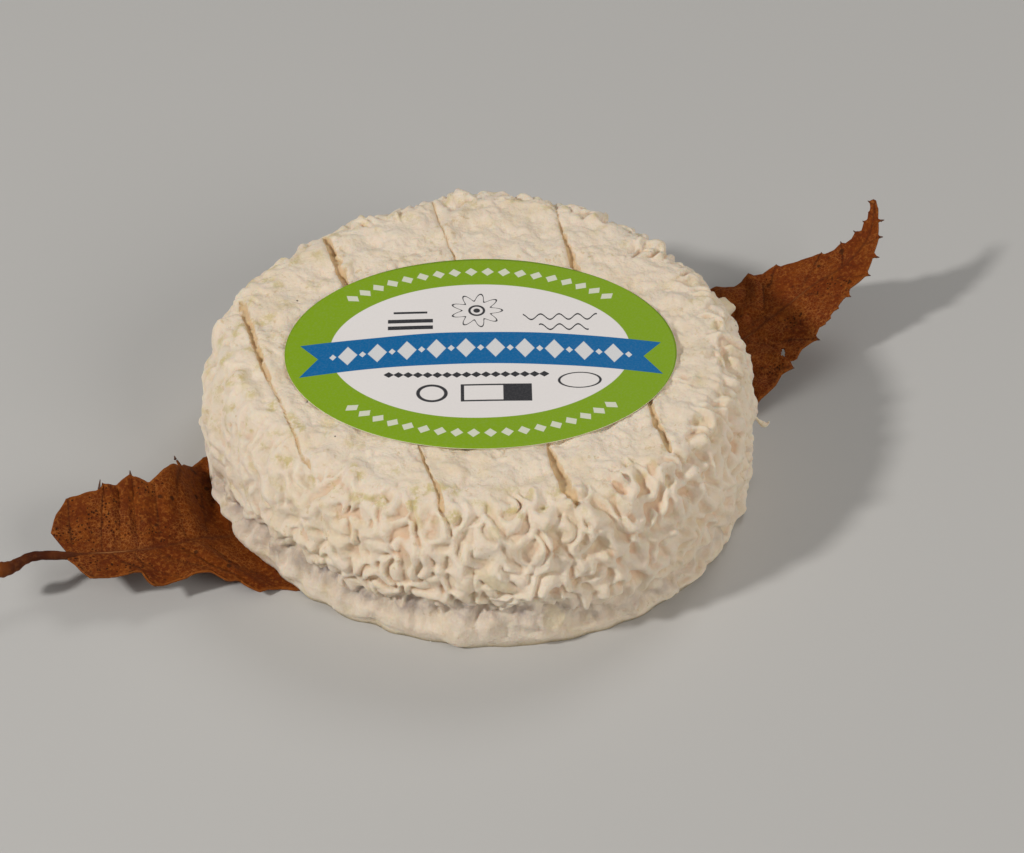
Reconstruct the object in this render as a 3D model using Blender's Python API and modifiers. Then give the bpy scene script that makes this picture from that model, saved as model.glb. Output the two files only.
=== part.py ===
# A flat round goat's milk cheese with a wrinkled white rind, ripened on a dried
# chestnut leaf and carrying an oval paper label. Metres, +Z up. The origin is the
# centre of the cheese on the surface that it stands on, and +X is the viewer's right.

import math

import bmesh
import bpy
import numpy as np
from mathutils import Vector

MM = 0.001
WELD = 0.01 * MM

# Cheese: the driving sizes of its turned body
CHEESE_RADIUS = 48.6 * MM
CHEESE_HEIGHT = 27.4 * MM
SHOULDER_WIDTH = 9.0 * MM
BULGE_HEIGHT = 11.5 * MM
CREASE_HEIGHT = 5.4 * MM
CREASE_DEPTH = 1.2 * MM
LIP_HEIGHT = 2.2 * MM
LIP_DEPTH = -0.1 * MM
FOOT_RADIUS = 48.1 * MM
TOP_BLEND = 6.0 * MM
LIP_ROUNDING = 0.5 * MM
LIP_ROUNDING_HEIGHT = 0.6 * MM
SHOULDER_POINTS = 8
SHOULDER_FULLNESS = 0.9
OUTLINE_POINTS = 400
RING_SPACING = 0.8 * MM
FOOT_RING_SPACING = 4.0 * MM
TURN_STEPS = 384
CHEESE_TRIANGLES = 7800

# The mould left it out of round: cosine and sine shares of the radius, two to six waves a turn
OUT_OF_ROUND = {
    2: (0.008, -0.011),
    3: (-0.015, 0.0),
    4: (0.010, -0.003),
    5: (0.001, 0.006),
    6: (-0.002, 0.002),
}

# Height of the crease above the lip, in millimetres, at directions round the cheese in degrees
CREASE_HEIGHTS = [
    (-180, 4.8),
    (-168, 4.8),
    (-150, 7.6),
    (-137, 8.4),
    (-125, 7.4),
    (-111, 7.2),
    (-92, 8.6),
    (-76, 7.6),
    (-58, 4.6),
    (-40, 4.2),
    (0, 5.2),
    (60, 5.0),
    (120, 6.0),
    (150, 4.6),
    (180, 4.8),
]
CREASE_REACH = 15.5 * MM

# Rind: worm-like wrinkles on soft lumps, strong on the side and faint on the top
WRINKLE_LENGTH = 5.0 * MM
WRINKLE_SPREAD = 0.20
WRINKLE_STEEPNESS = 1.5
WRINKLE_FULLNESS = 0.25
SIDE_WRINKLE = 0.55 * MM
TOP_WRINKLE = 0.16 * MM
LIP_WRINKLE = 0.15 * MM
LUMP_LENGTH = 19.0 * MM
LUMP_SPREAD = 0.45
SIDE_LUMP = 0.28 * MM
TOP_LUMP = 0.14 * MM
WARP_LENGTH = 15.0 * MM
WARP_DEPTH = 0.6 * MM
TOP_EDGE = 42.0 * MM
TOP_EDGE_BLEND = 3.0 * MM
FIELD_CELLS = 768
SIDE_WRINKLE_SEED = 5
TOP_WRINKLE_SEED = 9
SIDE_LUMP_SEED = 21
TOP_LUMP_SEED = 25

# A loose flake of rind at the side, turned towards the leaf's tip
FLAKE_ANGLE = math.radians(24)
FLAKE_CENTRE = 19.0 * MM
FLAKE_WIDTH = 2.8 * MM
FLAKE_LENGTH = 5.2 * MM
FLAKE_DEPTH = 1.9 * MM

# Four parallel furrows that the drying rack's wires pressed into the top
FURROW_ANGLE = math.radians(16.8)
FURROW_OFFSETS = (-38.3 * MM, -18.4 * MM, 2.9 * MM, 23.1 * MM)
FURROW_HALF_WIDTH = 1.15 * MM
FURROW_WALL = 0.45 * MM
FURROW_FLOOR = 25.5 * MM

# Label: an oval of stiff paper, lying on a patch of rind that it keeps flat
LABEL_LENGTH = 69.0 * MM
LABEL_WIDTH = 51.0 * MM
LABEL_THICKNESS = 0.25 * MM
LABEL_CENTRE = (-0.1 * MM, -2.4 * MM)
LABEL_TURN = math.radians(1.0)
LABEL_UNDERSIDE = 27.65 * MM
LABEL_BED = 27.3 * MM
LABEL_BED_MARGIN = 1.5 * MM
LABEL_BED_BLEND = 0.06
LABEL_SIDES = 96

# Leaf: where its midrib runs, from the stalk's joint to the tip, and how high it lifts
MIDRIB = [
    (-71.5, -32.7, 7.2),
    (-66.2, -31.3, 6.2),
    (-60.0, -29.5, 5.1),
    (-53.5, -26.5, 3.8),
    (-46.0, -21.6, 2.4),
    (-36.0, -16.2, 1.2),
    (0.0, 2.6, 0.0),
    (36.0, 21.4, 1.2),
    (46.5, 26.8, 3.4),
    (54.2, 31.4, 6.9),
    (61.6, 36.0, 10.6),
    (67.4, 38.6, 13.1),
    (70.9, 41.2, 15.7),
    (72.8, 44.0, 18.2),
    (73.6, 48.8, 21.0),
]
# Share of the blade's length, then for its left and its right side the width out from the
# midrib and how much the margin stands above it, in millimetres
MARGINS = [
    (0.0, 5.0, 1.2, 1.6, 0.0),
    (0.02, 11.2, 3.2, 7.4, 0.2),
    (0.06, 12.8, 4.4, 8.6, 0.6),
    (0.10, 14.4, 5.2, 11.2, 1.0),
    (0.15, 15.6, 5.6, 14.8, 0.8),
    (0.20, 17.0, 5.0, 18.6, 0.4),
    (0.30, 19.6, 3.0, 21.0, 0.0),
    (0.45, 21.4, 0.0, 21.4, 0.0),
    (0.60, 20.0, 0.0, 19.0, 0.0),
    (0.72, 17.4, -0.2, 15.4, -0.4),
    (0.78, 15.2, -0.4, 13.0, -0.2),
    (0.82, 12.2, -0.8, 10.2, 0.0),
    (0.86, 9.6, -0.6, 8.8, 0.2),
    (0.90, 6.6, 0.2, 6.4, 0.0),
    (0.94, 4.4, -0.4, 3.8, 0.3),
    (0.97, 2.6, -0.8, 2.0, 0.4),
    (1.0, 0.5, 0.0, 0.5, 0.0),
]
MARGIN_SMOOTHING = 0.008
MIDRIB_POINTS = 600
LEAF_THICKNESS = 0.5 * MM
TEETH_ALONG_BLADE = 16
TEETH_NEAR_TIP = 5
STATIONS_PER_TOOTH = 4
TOOTH_LENGTH = 1.7 * MM
TOOTH_LEAN = 1.8 * MM
CURL_POWER = 1.4
BLADE_COLUMNS = 8
BASE_LOBE = 2.2 * MM
RIPPLE_HEIGHT = 0.8 * MM
RIPPLE_LENGTH = 15.0 * MM
FLAT_BESIDE_CHEESE = 0.8 * MM
LIFTED_BESIDE_CHEESE = 4.5 * MM
BED_STATIONS = 48
BED_MARGIN = 1.6 * MM
BED_HEIGHT = 0.85 * MM
BED_REACH = 16.0 * MM

# Stalk: points back from the blade, with the radius at each, down to its swollen end
STALK = [
    (-60.0, -29.5, 5.1, 0.42),
    (-66.2, -31.3, 6.2, 0.6),
    (-71.6, -33.1, 7.2, 0.74),
    (-74.4, -33.4, 7.6, 0.8),
    (-78.0, -34.4, 8.1, 0.85),
    (-80.2, -36.4, 8.2, 1.02),
    (-81.2, -37.1, 8.2, 1.18),
    (-82.2, -37.4, 8.1, 1.36),
    (-83.2, -37.5, 8.0, 1.42),
    (-83.9, -37.5, 7.9, 1.1),
]
STALK_POINTS = 26

RIND_COLOUR = (0.84, 0.77, 0.66)
LEAF_COLOUR = (0.19, 0.062, 0.018)
LABEL_COLOUR = (0.20, 0.38, 0.02)


def clear_scene():
    for old in list(bpy.data.objects):
        bpy.data.objects.remove(old)


def make_collection(name):
    collection = bpy.data.collections.new(name)
    bpy.context.scene.collection.children.link(collection)
    return collection


def make_material(name, colour, roughness):
    material = bpy.data.materials.new(name)
    material.use_nodes = True
    shader = material.node_tree.nodes["Principled BSDF"]
    shader.inputs["Base Color"].default_value = (*colour, 1.0)
    shader.inputs["Roughness"].default_value = roughness
    shader.inputs["Metallic"].default_value = 0.0
    return material


def smooth_step(low, high, x):
    share = np.clip((x - low) / (high - low), 0.0, 1.0)
    return share * share * (3.0 - 2.0 * share)


def smooth_points(points, count):
    """A smooth line through the points (Catmull-Rom), as count evenly parametrised points."""
    p = np.array(points, float)
    p = np.vstack([2 * p[0] - p[1], p, 2 * p[-1] - p[-2]])
    where = np.linspace(0, len(p) - 3 - 1e-9, count)
    i = where.astype(int)
    f = (where - i)[:, None]
    a, b, c, d = p[i], p[i + 1], p[i + 2], p[i + 3]
    return 0.5 * (2 * b + (c - a) * f + (2 * a - 5 * b + 4 * c - d) * f**2 + (3 * b - a - 3 * c + d) * f**3)


# Random fields that repeat over a width and a height, and how they are read
def band_noise(size, wavelength, spread, seed):
    """Noise of about one wavelength on a grid that repeats over size, scaled to a deviation of 1."""
    columns = FIELD_CELLS
    rows = max(64, int(FIELD_CELLS * size[1] / size[0]))
    across = np.fft.rfftfreq(columns, size[0] / columns) * wavelength
    along = np.fft.fftfreq(rows, size[1] / rows) * wavelength
    pitch = np.maximum(np.hypot(across[None, :], along[:, None]), 1e-6)
    noise = np.random.default_rng(seed).standard_normal((rows, columns))
    field = np.fft.irfft2(np.fft.rfft2(noise) * np.exp(-((np.log(pitch) / spread) ** 2)), s=(rows, columns))
    return field / field.std()


def read_field(field, size, u, v):
    rows, columns = field.shape
    x = (u / size[0] % 1.0) * columns
    y = (v / size[1] % 1.0) * rows
    i, j = np.floor(x).astype(int), np.floor(y).astype(int)
    fx, fy = x - i, y - j
    i, j, i2, j2 = i % columns, j % rows, (i + 1) % columns, (j + 1) % rows
    low = field[j, i] * (1 - fx) + field[j, i2] * fx
    high = field[j2, i] * (1 - fx) + field[j2, i2] * fx
    return low * (1 - fy) + high * fy


def wrinkles(size, u, v, seed):
    """Rounded ridges between narrow valleys, from -1 to 1, bent by a slower noise."""
    bend_u = read_field(band_noise(size, WARP_LENGTH, LUMP_SPREAD, seed + 1), size, u, v) * WARP_DEPTH
    bend_v = read_field(band_noise(size, WARP_LENGTH, LUMP_SPREAD, seed + 2), size, u, v) * WARP_DEPTH
    ridges = band_noise(size, WRINKLE_LENGTH, WRINKLE_SPREAD, seed)
    return np.tanh(WRINKLE_STEEPNESS * read_field(ridges, size, u + bend_u, v + bend_v) + WRINKLE_FULLNESS)


# Cheese
def cheese_profile():
    """The turned body's outline from the top's centre, down its outer side, to the foot's centre."""
    top_radius = CHEESE_RADIUS - SHOULDER_WIDTH
    outline = [(top_radius - TOP_BLEND, CHEESE_HEIGHT)]
    for turn in np.linspace(1.0, 0.0, SHOULDER_POINTS):
        swing = turn * math.pi / 2
        out = CHEESE_RADIUS - SHOULDER_WIDTH * (1 - math.cos(swing) ** SHOULDER_FULLNESS)
        up = BULGE_HEIGHT + (CHEESE_HEIGHT - BULGE_HEIGHT) * math.sin(swing) ** SHOULDER_FULLNESS
        outline.append((out, up))
    outline += [
        (CHEESE_RADIUS - 0.3 * CREASE_DEPTH, 0.5 * (BULGE_HEIGHT + CREASE_HEIGHT)),
        (CHEESE_RADIUS - CREASE_DEPTH, CREASE_HEIGHT),
        (CHEESE_RADIUS - LIP_DEPTH, LIP_HEIGHT),
        (CHEESE_RADIUS - LIP_DEPTH - LIP_ROUNDING, LIP_ROUNDING_HEIGHT),
        (FOOT_RADIUS, 0.0),
    ]
    side = smooth_points(outline, OUTLINE_POINTS)
    length = np.concatenate([[0.0], np.cumsum(np.hypot(*np.diff(side, axis=0).T))])
    even = np.linspace(0.0, length[-1], int(length[-1] / RING_SPACING))
    side = np.stack([np.interp(even, length, side[:, 0]), np.interp(even, length, side[:, 1])], 1)
    side[:, 1] = np.maximum(side[:, 1], 0.0)
    top = [(r, CHEESE_HEIGHT) for r in np.arange(0.0, side[0, 0] - 0.5 * RING_SPACING, RING_SPACING)]
    foot_radii = np.arange(FOOT_RADIUS - FOOT_RING_SPACING, FOOT_RING_SPACING, -FOOT_RING_SPACING)
    foot = [(r, 0.0) for r in foot_radii]
    return np.array(top + [tuple(p) for p in side] + foot + [(0.0, 0.0)])


def turned_mesh(name, profile, steps):
    """Turns a profile into a closed mesh with a Screw modifier and welds it at the axis."""
    line = bpy.data.meshes.new(name + "_profile")
    line.from_pydata([(r, 0.0, z) for r, z in profile], [(i, i + 1) for i in range(len(profile) - 1)], [])
    holder = bpy.data.objects.new(name + "_profile", line)
    bpy.context.scene.collection.objects.link(holder)
    screw = holder.modifiers.new("turn", "SCREW")
    screw.steps = screw.render_steps = steps
    screw.use_merge_vertices = True
    screw.merge_threshold = WELD
    mesh = bpy.data.meshes.new_from_object(holder.evaluated_get(bpy.context.evaluated_depsgraph_get()))
    bpy.data.objects.remove(holder)
    bm = bmesh.new()
    bm.from_mesh(mesh)
    bmesh.ops.remove_doubles(bm, verts=bm.verts, dist=WELD)
    bmesh.ops.triangulate(bm, faces=bm.faces)
    bm.to_mesh(mesh)
    bm.free()
    mesh.name = name
    return mesh


def crease_lift(angle, z):
    """How far the crease and the points beside it are raised to its height in that direction."""
    degrees, height = np.array(CREASE_HEIGHTS).T
    lift = np.interp(np.degrees(angle), degrees, height) * MM - CREASE_HEIGHT
    return lift * smooth_step(0.0, CREASE_HEIGHT, z) * (1.0 - smooth_step(CREASE_HEIGHT, CREASE_REACH, z))


def furrow_depths(x, y, z):
    """How far the rack's furrows lower each point of the top."""
    across = x * math.cos(FURROW_ANGLE) + y * math.sin(FURROW_ANGLE)
    pressed = np.zeros_like(x)
    for offset in FURROW_OFFSETS:
        distance = np.abs(across - offset)
        inside = 1.0 - smooth_step(FURROW_HALF_WIDTH - FURROW_WALL, FURROW_HALF_WIDTH, distance)
        pressed = np.maximum(pressed, inside)
    return pressed * np.maximum(z - FURROW_FLOOR, 0.0)


def round_share(angle):
    """The cheese's radius in a direction, as a share of its mean radius."""
    share = np.ones_like(angle)
    for waves, (cosine, sine) in OUT_OF_ROUND.items():
        share += cosine * np.cos(waves * angle) + sine * np.sin(waves * angle)
    return share


def flake_height(angle, z):
    """A flake of rind that has come loose at the side and stands off it."""
    across = np.abs(angle - FLAKE_ANGLE) * CHEESE_RADIUS / (FLAKE_WIDTH / 2)
    along = np.abs(z - FLAKE_CENTRE) / (FLAKE_LENGTH / 2)
    return FLAKE_DEPTH * (1.0 - smooth_step(0.7, 1.15, np.hypot(across, along)))


def label_share(x, y, margin):
    """Below 1 inside the label's oval grown by a margin, above 1 outside it."""
    along = (x - LABEL_CENTRE[0]) / (LABEL_LENGTH / 2 + margin)
    across = (y - LABEL_CENTRE[1]) / (LABEL_WIDTH / 2 + margin)
    return np.hypot(along, across)


def shape_rind(mesh, profile):
    """Moves the turned body's points: out of round, lumps, wrinkles, the label's bed and the furrows."""
    points = np.zeros(len(mesh.vertices) * 3)
    mesh.vertices.foreach_get("co", points)
    x, y, z = points.reshape(-1, 3).T.copy()
    radius, angle = np.hypot(x, y), np.arctan2(y, x)

    # Each point's place along the profile, found from its direction out of the body's middle
    middle = 0.5 * CHEESE_HEIGHT
    length = np.concatenate([[0.0], np.cumsum(np.hypot(*np.diff(profile, axis=0).T))])
    lean = np.arctan2(profile[:, 1] - middle, profile[:, 0])
    down = np.interp(-np.arctan2(z - middle, radius), -lean, length)
    slope = np.gradient(profile, length, axis=0)
    out = np.interp(down, length, -slope[:, 1])
    up = np.interp(down, length, slope[:, 0])
    z = z + crease_lift(angle, z)

    girth = 2 * math.pi * CHEESE_RADIUS
    band = (girth, girth / 4)
    disc = (4 * CHEESE_RADIUS, 4 * CHEESE_RADIUS)
    around = angle * CHEESE_RADIUS
    on_side = smooth_step(TOP_EDGE - TOP_EDGE_BLEND, TOP_EDGE + TOP_EDGE_BLEND, down)
    above_lip = smooth_step(LIP_HEIGHT, CREASE_HEIGHT + 2 * MM, z)
    off_foot = smooth_step(0.0, LIP_HEIGHT, z)

    side_depth = (LIP_WRINKLE + (SIDE_WRINKLE - LIP_WRINKLE) * above_lip) * off_foot
    side_relief = side_depth * wrinkles(band, around, down, SIDE_WRINKLE_SEED)
    side_lumps = band_noise(band, LUMP_LENGTH, LUMP_SPREAD, SIDE_LUMP_SEED)
    side_relief += SIDE_LUMP * off_foot * read_field(side_lumps, band, around, down)
    top_relief = TOP_WRINKLE * wrinkles(disc, x, y, TOP_WRINKLE_SEED)
    top_lumps = band_noise(disc, LUMP_LENGTH, LUMP_SPREAD, TOP_LUMP_SEED)
    top_relief += TOP_LUMP * read_field(top_lumps, disc, x, y)
    relief = top_relief + (side_relief - top_relief) * on_side
    relief[z < 0.01 * MM] = 0.0

    relief += flake_height(angle, z)
    radius = radius * round_share(angle) + relief * out
    z = z + relief * up
    x, y = radius * np.cos(angle), radius * np.sin(angle)

    in_bed = 1.0 - smooth_step(1.0, 1.0 + LABEL_BED_BLEND, label_share(x, y, LABEL_BED_MARGIN))
    over_bed = np.maximum(z - LABEL_BED, 0.0) * (z > middle)
    z = z - over_bed * in_bed
    z = z - furrow_depths(x, y, z)
    mesh.vertices.foreach_set("co", np.stack([x, y, z], 1).ravel())
    mesh.update()


def build_cheese(parts, cutters):
    profile = cheese_profile()
    mesh = turned_mesh("cheese", profile, TURN_STEPS)
    shape_rind(mesh, profile)
    cheese = bpy.data.objects.new("cheese", mesh)
    parts.objects.link(cheese)
    thin = cheese.modifiers.new("fewer_triangles", "DECIMATE")
    thin.ratio = CHEESE_TRIANGLES / len(mesh.polygons)
    bed = cheese.modifiers.new("leaf_bed", "BOOLEAN")
    bed.operation = "DIFFERENCE"
    bed.solver = "EXACT"
    bed.object = build_leaf_bed(cutters)
    mesh.materials.append(make_material("ivory_rind", RIND_COLOUR, 0.62))
    return cheese


# Leaf
def midrib_line(share):
    """Points at shares of the midrib's length, the leaf's direction in plan at each, and the length."""
    fine = smooth_points(np.array(MIDRIB) * MM, MIDRIB_POINTS)
    length = np.concatenate([[0.0], np.cumsum(np.linalg.norm(np.diff(fine, axis=0), axis=1))])
    line = np.stack([np.interp(share * length[-1], length, fine[:, i]) for i in range(3)], 1)
    heading = np.gradient(fine, axis=0)
    heading = np.stack([np.interp(share * length[-1], length, heading[:, i]) for i in range(3)], 1)
    heading[:, 2] = 0.0
    heading /= np.linalg.norm(heading, axis=1)[:, None]
    return line, heading, length[-1]


def blade_stations():
    """Shares of the blade's length, so that a fixed number of stations falls on each tooth."""
    fine = np.linspace(0.0, 1.0, 2001)
    teeth = TEETH_ALONG_BLADE * fine + TEETH_NEAR_TIP * fine**4
    count = (TEETH_ALONG_BLADE + TEETH_NEAR_TIP) * STATIONS_PER_TOOTH + 1
    tooth_number = np.linspace(0.0, teeth[-1], count)
    return np.interp(tooth_number, teeth, fine), tooth_number % 1.0


def margin_sizes(share, side):
    """Width out from the midrib and rise of the margin on the left (1) or right (-1) side."""
    table = np.array(MARGINS)
    first = 1 if side > 0 else 3
    around = [share - MARGIN_SMOOTHING, share, share + MARGIN_SMOOTHING]
    width = np.mean([np.interp(s, table[:, 0], table[:, first]) for s in around], axis=0)
    rise = np.mean([np.interp(s, table[:, 0], table[:, first + 1]) for s in around], axis=0)
    return width * MM, rise * MM


def blade_row(across, share, phase, line, heading, length):
    """Points along the blade at one distance across it, from -1 at the right margin to 1 at the left."""
    width, rise = margin_sizes(share, across)
    spike = (2.0 * np.abs(phase - 0.5)) ** 3 if abs(across) > 0.99 else np.zeros_like(share)
    spike = spike * smooth_step(0.02, 0.1, share) * (1.0 - 0.5 * smooth_step(0.8, 1.0, share))
    out = across * width + math.copysign(1.0, across) * TOOTH_LENGTH * spike
    ahead = TOOTH_LEAN * spike - BASE_LOBE * abs(across) * (1.0 - smooth_step(0.0, 0.05, share))
    x = line[:, 0] - out * heading[:, 1] + ahead * heading[:, 0]
    y = line[:, 1] + out * heading[:, 0] + ahead * heading[:, 1]

    beside = np.hypot(x, y) - CHEESE_RADIUS * round_share(np.arctan2(y, x))
    lifted = smooth_step(FLAT_BESIDE_CHEESE, LIFTED_BESIDE_CHEESE, beside)
    ripple = RIPPLE_HEIGHT * np.sin(2 * math.pi * share * length / RIPPLE_LENGTH + across) * across**2
    height = line[:, 2] + rise * abs(across) ** CURL_POWER + ripple * np.minimum(width / (10 * MM), 1.0)
    return np.stack([x, y, lifted * np.maximum(height, LEAF_THICKNESS)], 1)


def blade_point_rows(columns):
    """The blade as rows of points: one row a column across it, one point a station along it."""
    share, phase = blade_stations()
    line, heading, length = midrib_line(share)
    across = np.linspace(-1.0, 1.0, columns + 1)
    return np.array([blade_row(a, share, phase, line, heading, length) for a in across])


def build_leaf(parts, cutters):
    """A grid bent to the toothed blade, thickened, with the stalk and midrib joined on."""
    rows = blade_point_rows(BLADE_COLUMNS)
    stations = rows.shape[1]
    bm = bmesh.new()
    bmesh.ops.create_grid(bm, x_segments=stations - 1, y_segments=BLADE_COLUMNS, size=0.5)
    for vert in bm.verts:
        station = round((vert.co.x + 0.5) * (stations - 1))
        column = round((vert.co.y + 0.5) * BLADE_COLUMNS)
        vert.co = Vector(rows[column, station])
    bmesh.ops.triangulate(bm, faces=bm.faces)
    mesh = bpy.data.meshes.new("chestnut_leaf")
    bm.to_mesh(mesh)
    bm.free()
    mesh.materials.append(make_material("dry_leaf", LEAF_COLOUR, 0.6))
    leaf = bpy.data.objects.new("chestnut_leaf", mesh)
    parts.objects.link(leaf)
    thicken = leaf.modifiers.new("thickness", "SOLIDIFY")
    thicken.thickness = LEAF_THICKNESS
    thicken.offset = 1.0
    join = leaf.modifiers.new("stalk", "BOOLEAN")
    join.operation = "UNION"
    join.solver = "EXACT"
    join.object = build_stalk(cutters)
    return leaf


def build_stalk(cutters):
    """The stalk as a tapered tube, closed at both ends and swollen where it left the twig."""
    curve = bpy.data.curves.new("stalk", "CURVE")
    curve.dimensions = "3D"
    curve.bevel_depth = 1.0
    curve.bevel_resolution = 2
    curve.use_fill_caps = True
    points = smooth_points(np.array(STALK) * MM, STALK_POINTS)
    spline = curve.splines.new("POLY")
    spline.points.add(len(points) - 1)
    for target, (x, y, z, radius) in zip(spline.points, points):
        target.co = (x, y, z + 0.5 * LEAF_THICKNESS, 1.0)
        target.radius = radius
    tube = bpy.data.objects.new("stalk_tube", curve)
    bpy.context.scene.collection.objects.link(tube)
    mesh = bpy.data.meshes.new_from_object(tube.evaluated_get(bpy.context.evaluated_depsgraph_get()))
    bpy.data.objects.remove(tube)
    bm = bmesh.new()
    bm.from_mesh(mesh)
    bmesh.ops.remove_doubles(bm, verts=bm.verts, dist=WELD)
    bmesh.ops.recalc_face_normals(bm, faces=bm.faces)
    bm.to_mesh(mesh)
    bm.free()
    stalk = bpy.data.objects.new("stalk_cutter", mesh)
    cutters.objects.link(stalk)
    mark_as_cutter(stalk)
    return stalk


def build_leaf_bed(cutters):
    """A slab of the leaf's outline, grown by a margin: the soft cheese has sunk round the leaf."""
    share = np.linspace(0.02, 0.98, BED_STATIONS)
    line, heading, _ = midrib_line(share)
    sideways = np.stack([-heading[:, 1], heading[:, 0]], 1)
    left = line[:, :2] + (margin_sizes(share, 1)[0] + TOOTH_LENGTH + BED_MARGIN)[:, None] * sideways
    right = line[:, :2] - (margin_sizes(share, -1)[0] + TOOTH_LENGTH + BED_MARGIN)[:, None] * sideways
    under_cheese = np.hypot(line[:, 0], line[:, 1]) < CHEESE_RADIUS + BED_REACH
    outline = np.vstack([left[under_cheese], right[under_cheese][::-1]])
    curve = bpy.data.curves.new("leaf_bed", "CURVE")
    curve.dimensions = "2D"
    curve.fill_mode = "BOTH"
    curve.extrude = BED_HEIGHT
    spline = curve.splines.new("POLY")
    spline.points.add(len(outline) - 1)
    for target, (x, y) in zip(spline.points, outline):
        target.co = (x, y, 0.0, 1.0)
    spline.use_cyclic_u = True
    slab = bpy.data.objects.new("leaf_bed_slab", curve)
    bpy.context.scene.collection.objects.link(slab)
    mesh = bpy.data.meshes.new_from_object(slab.evaluated_get(bpy.context.evaluated_depsgraph_get()))
    bpy.data.objects.remove(slab)
    bm = bmesh.new()
    bm.from_mesh(mesh)
    bmesh.ops.remove_doubles(bm, verts=bm.verts, dist=WELD)
    bmesh.ops.recalc_face_normals(bm, faces=bm.faces)
    bm.to_mesh(mesh)
    bm.free()
    bed = bpy.data.objects.new("leaf_bed_cutter", mesh)
    cutters.objects.link(bed)
    mark_as_cutter(bed)
    return bed


def mark_as_cutter(cutter):
    cutter.hide_render = True
    cutter.display_type = "WIRE"


# Label
def build_label(parts):
    """A flat oval of paper: a filled outline, extruded by half its thickness each way."""
    curve = bpy.data.curves.new("label", "CURVE")
    curve.dimensions = "2D"
    curve.fill_mode = "BOTH"
    curve.extrude = LABEL_THICKNESS / 2
    spline = curve.splines.new("POLY")
    spline.points.add(LABEL_SIDES - 1)
    for i, target in enumerate(spline.points):
        angle = 2 * math.pi * i / LABEL_SIDES
        target.co = (0.5 * LABEL_LENGTH * math.cos(angle), 0.5 * LABEL_WIDTH * math.sin(angle), 0.0, 1.0)
    spline.use_cyclic_u = True
    curve.materials.append(make_material("label_paper", LABEL_COLOUR, 0.4))
    label = bpy.data.objects.new("label", curve)
    label.location = (*LABEL_CENTRE, LABEL_UNDERSIDE + LABEL_THICKNESS / 2)
    label.rotation_euler = (0.0, 0.0, LABEL_TURN)
    parts.objects.link(label)
    return label


def main():
    clear_scene()
    parts = make_collection("goat_cheese")
    cutters = make_collection("cutters")
    build_cheese(parts, cutters)
    build_leaf(parts, cutters)
    build_label(parts)


main()
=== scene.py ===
import math

import bmesh
import bpy
import numpy as np
from mathutils import Matrix, Vector


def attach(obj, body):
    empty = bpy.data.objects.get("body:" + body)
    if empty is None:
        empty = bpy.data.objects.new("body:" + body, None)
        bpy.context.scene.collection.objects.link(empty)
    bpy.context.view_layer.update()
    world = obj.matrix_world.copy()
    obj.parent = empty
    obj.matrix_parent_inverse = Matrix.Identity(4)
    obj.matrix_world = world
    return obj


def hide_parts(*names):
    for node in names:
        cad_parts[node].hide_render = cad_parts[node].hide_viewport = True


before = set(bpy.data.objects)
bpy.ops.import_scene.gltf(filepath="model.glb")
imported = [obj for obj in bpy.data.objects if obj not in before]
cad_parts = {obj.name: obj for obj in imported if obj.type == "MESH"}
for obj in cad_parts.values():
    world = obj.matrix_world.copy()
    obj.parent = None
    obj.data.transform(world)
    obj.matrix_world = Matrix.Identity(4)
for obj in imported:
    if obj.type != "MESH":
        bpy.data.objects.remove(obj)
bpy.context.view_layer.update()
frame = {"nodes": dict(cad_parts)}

mm = 0.001
weldWithin = 0.000005
topSize = (120.0, 120.0)    # a repeating square of pattern, wider than the cheese
leafSize = (60.0, 60.0)     # the same for the leaf
print("frame loaded:", ", ".join(frame["nodes"]))


# Small numeric helpers, all lengths in millimetres until a mesh is written

def smoothStep(low, high, x):
    share = np.clip((x - low) / (high - low), 0.0, 1.0)
    return share * share * (3.0 - 2.0 * share)


def smoothLine(points, count):
    # Catmull-Rom line through the points
    p = np.array(points, float)
    p = np.vstack([2 * p[0] - p[1], p, 2 * p[-1] - p[-2]])
    where = np.linspace(0, len(p) - 3 - 1e-9, count)
    i = where.astype(int)
    f = (where - i)[:, None]
    a, b, c, d = p[i], p[i + 1], p[i + 2], p[i + 3]
    curved = (2 * a - 5 * b + 4 * c - d) * f**2 + (3 * b - a - 3 * c + d) * f**3
    return 0.5 * (2 * b + (c - a) * f + curved)


def lengthAlong(line):
    return np.concatenate([[0.0], np.cumsum(np.linalg.norm(np.diff(line, axis=0), axis=1))])


def bandNoise(size, waves, spread, seed, columns=1024, rounds=0):
    # repeating noise whose bumps are about waves wide, with a deviation of 1;
    # each further round joins the bumps up into winding ridges
    rows = int(columns * size[1] / size[0])
    across = np.fft.rfftfreq(columns, size[0] / columns) * waves[0]
    along = np.fft.fftfreq(rows, size[1] / rows) * waves[1]
    pitch = np.maximum(np.hypot(across[None, :], along[:, None]), 1e-6)
    band = np.exp(-((np.log(pitch) / spread) ** 2))
    field = np.random.default_rng(seed).standard_normal((rows, columns))
    for _ in range(rounds + 1):
        field = np.fft.irfft2(np.fft.rfft2(field) * band, s=(rows, columns))
        spare = field / field.std()
        field = np.tanh(1.6 * spare)
    return spare


def readField(field, size, u, v):
    rows, columns = field.shape
    x = (u / size[0] % 1.0) * columns
    y = (v / size[1] % 1.0) * rows
    i, j = np.floor(x).astype(int), np.floor(y).astype(int)
    fx, fy = x - i, y - j
    i, j, i2, j2 = i % columns, j % rows, (i + 1) % columns, (j + 1) % rows
    low = field[j, i] * (1 - fx) + field[j, i2] * fx
    high = field[j2, i] * (1 - fx) + field[j2, i2] * fx
    return low * (1 - fy) + high * fy


def getPoints(mesh):
    co = np.zeros(len(mesh.vertices) * 3)
    mesh.vertices.foreach_get("co", co)
    return co.reshape(-1, 3) / mm


def setPoints(mesh, points):
    mesh.vertices.foreach_set("co", (points * mm).ravel())
    mesh.update()


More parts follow.
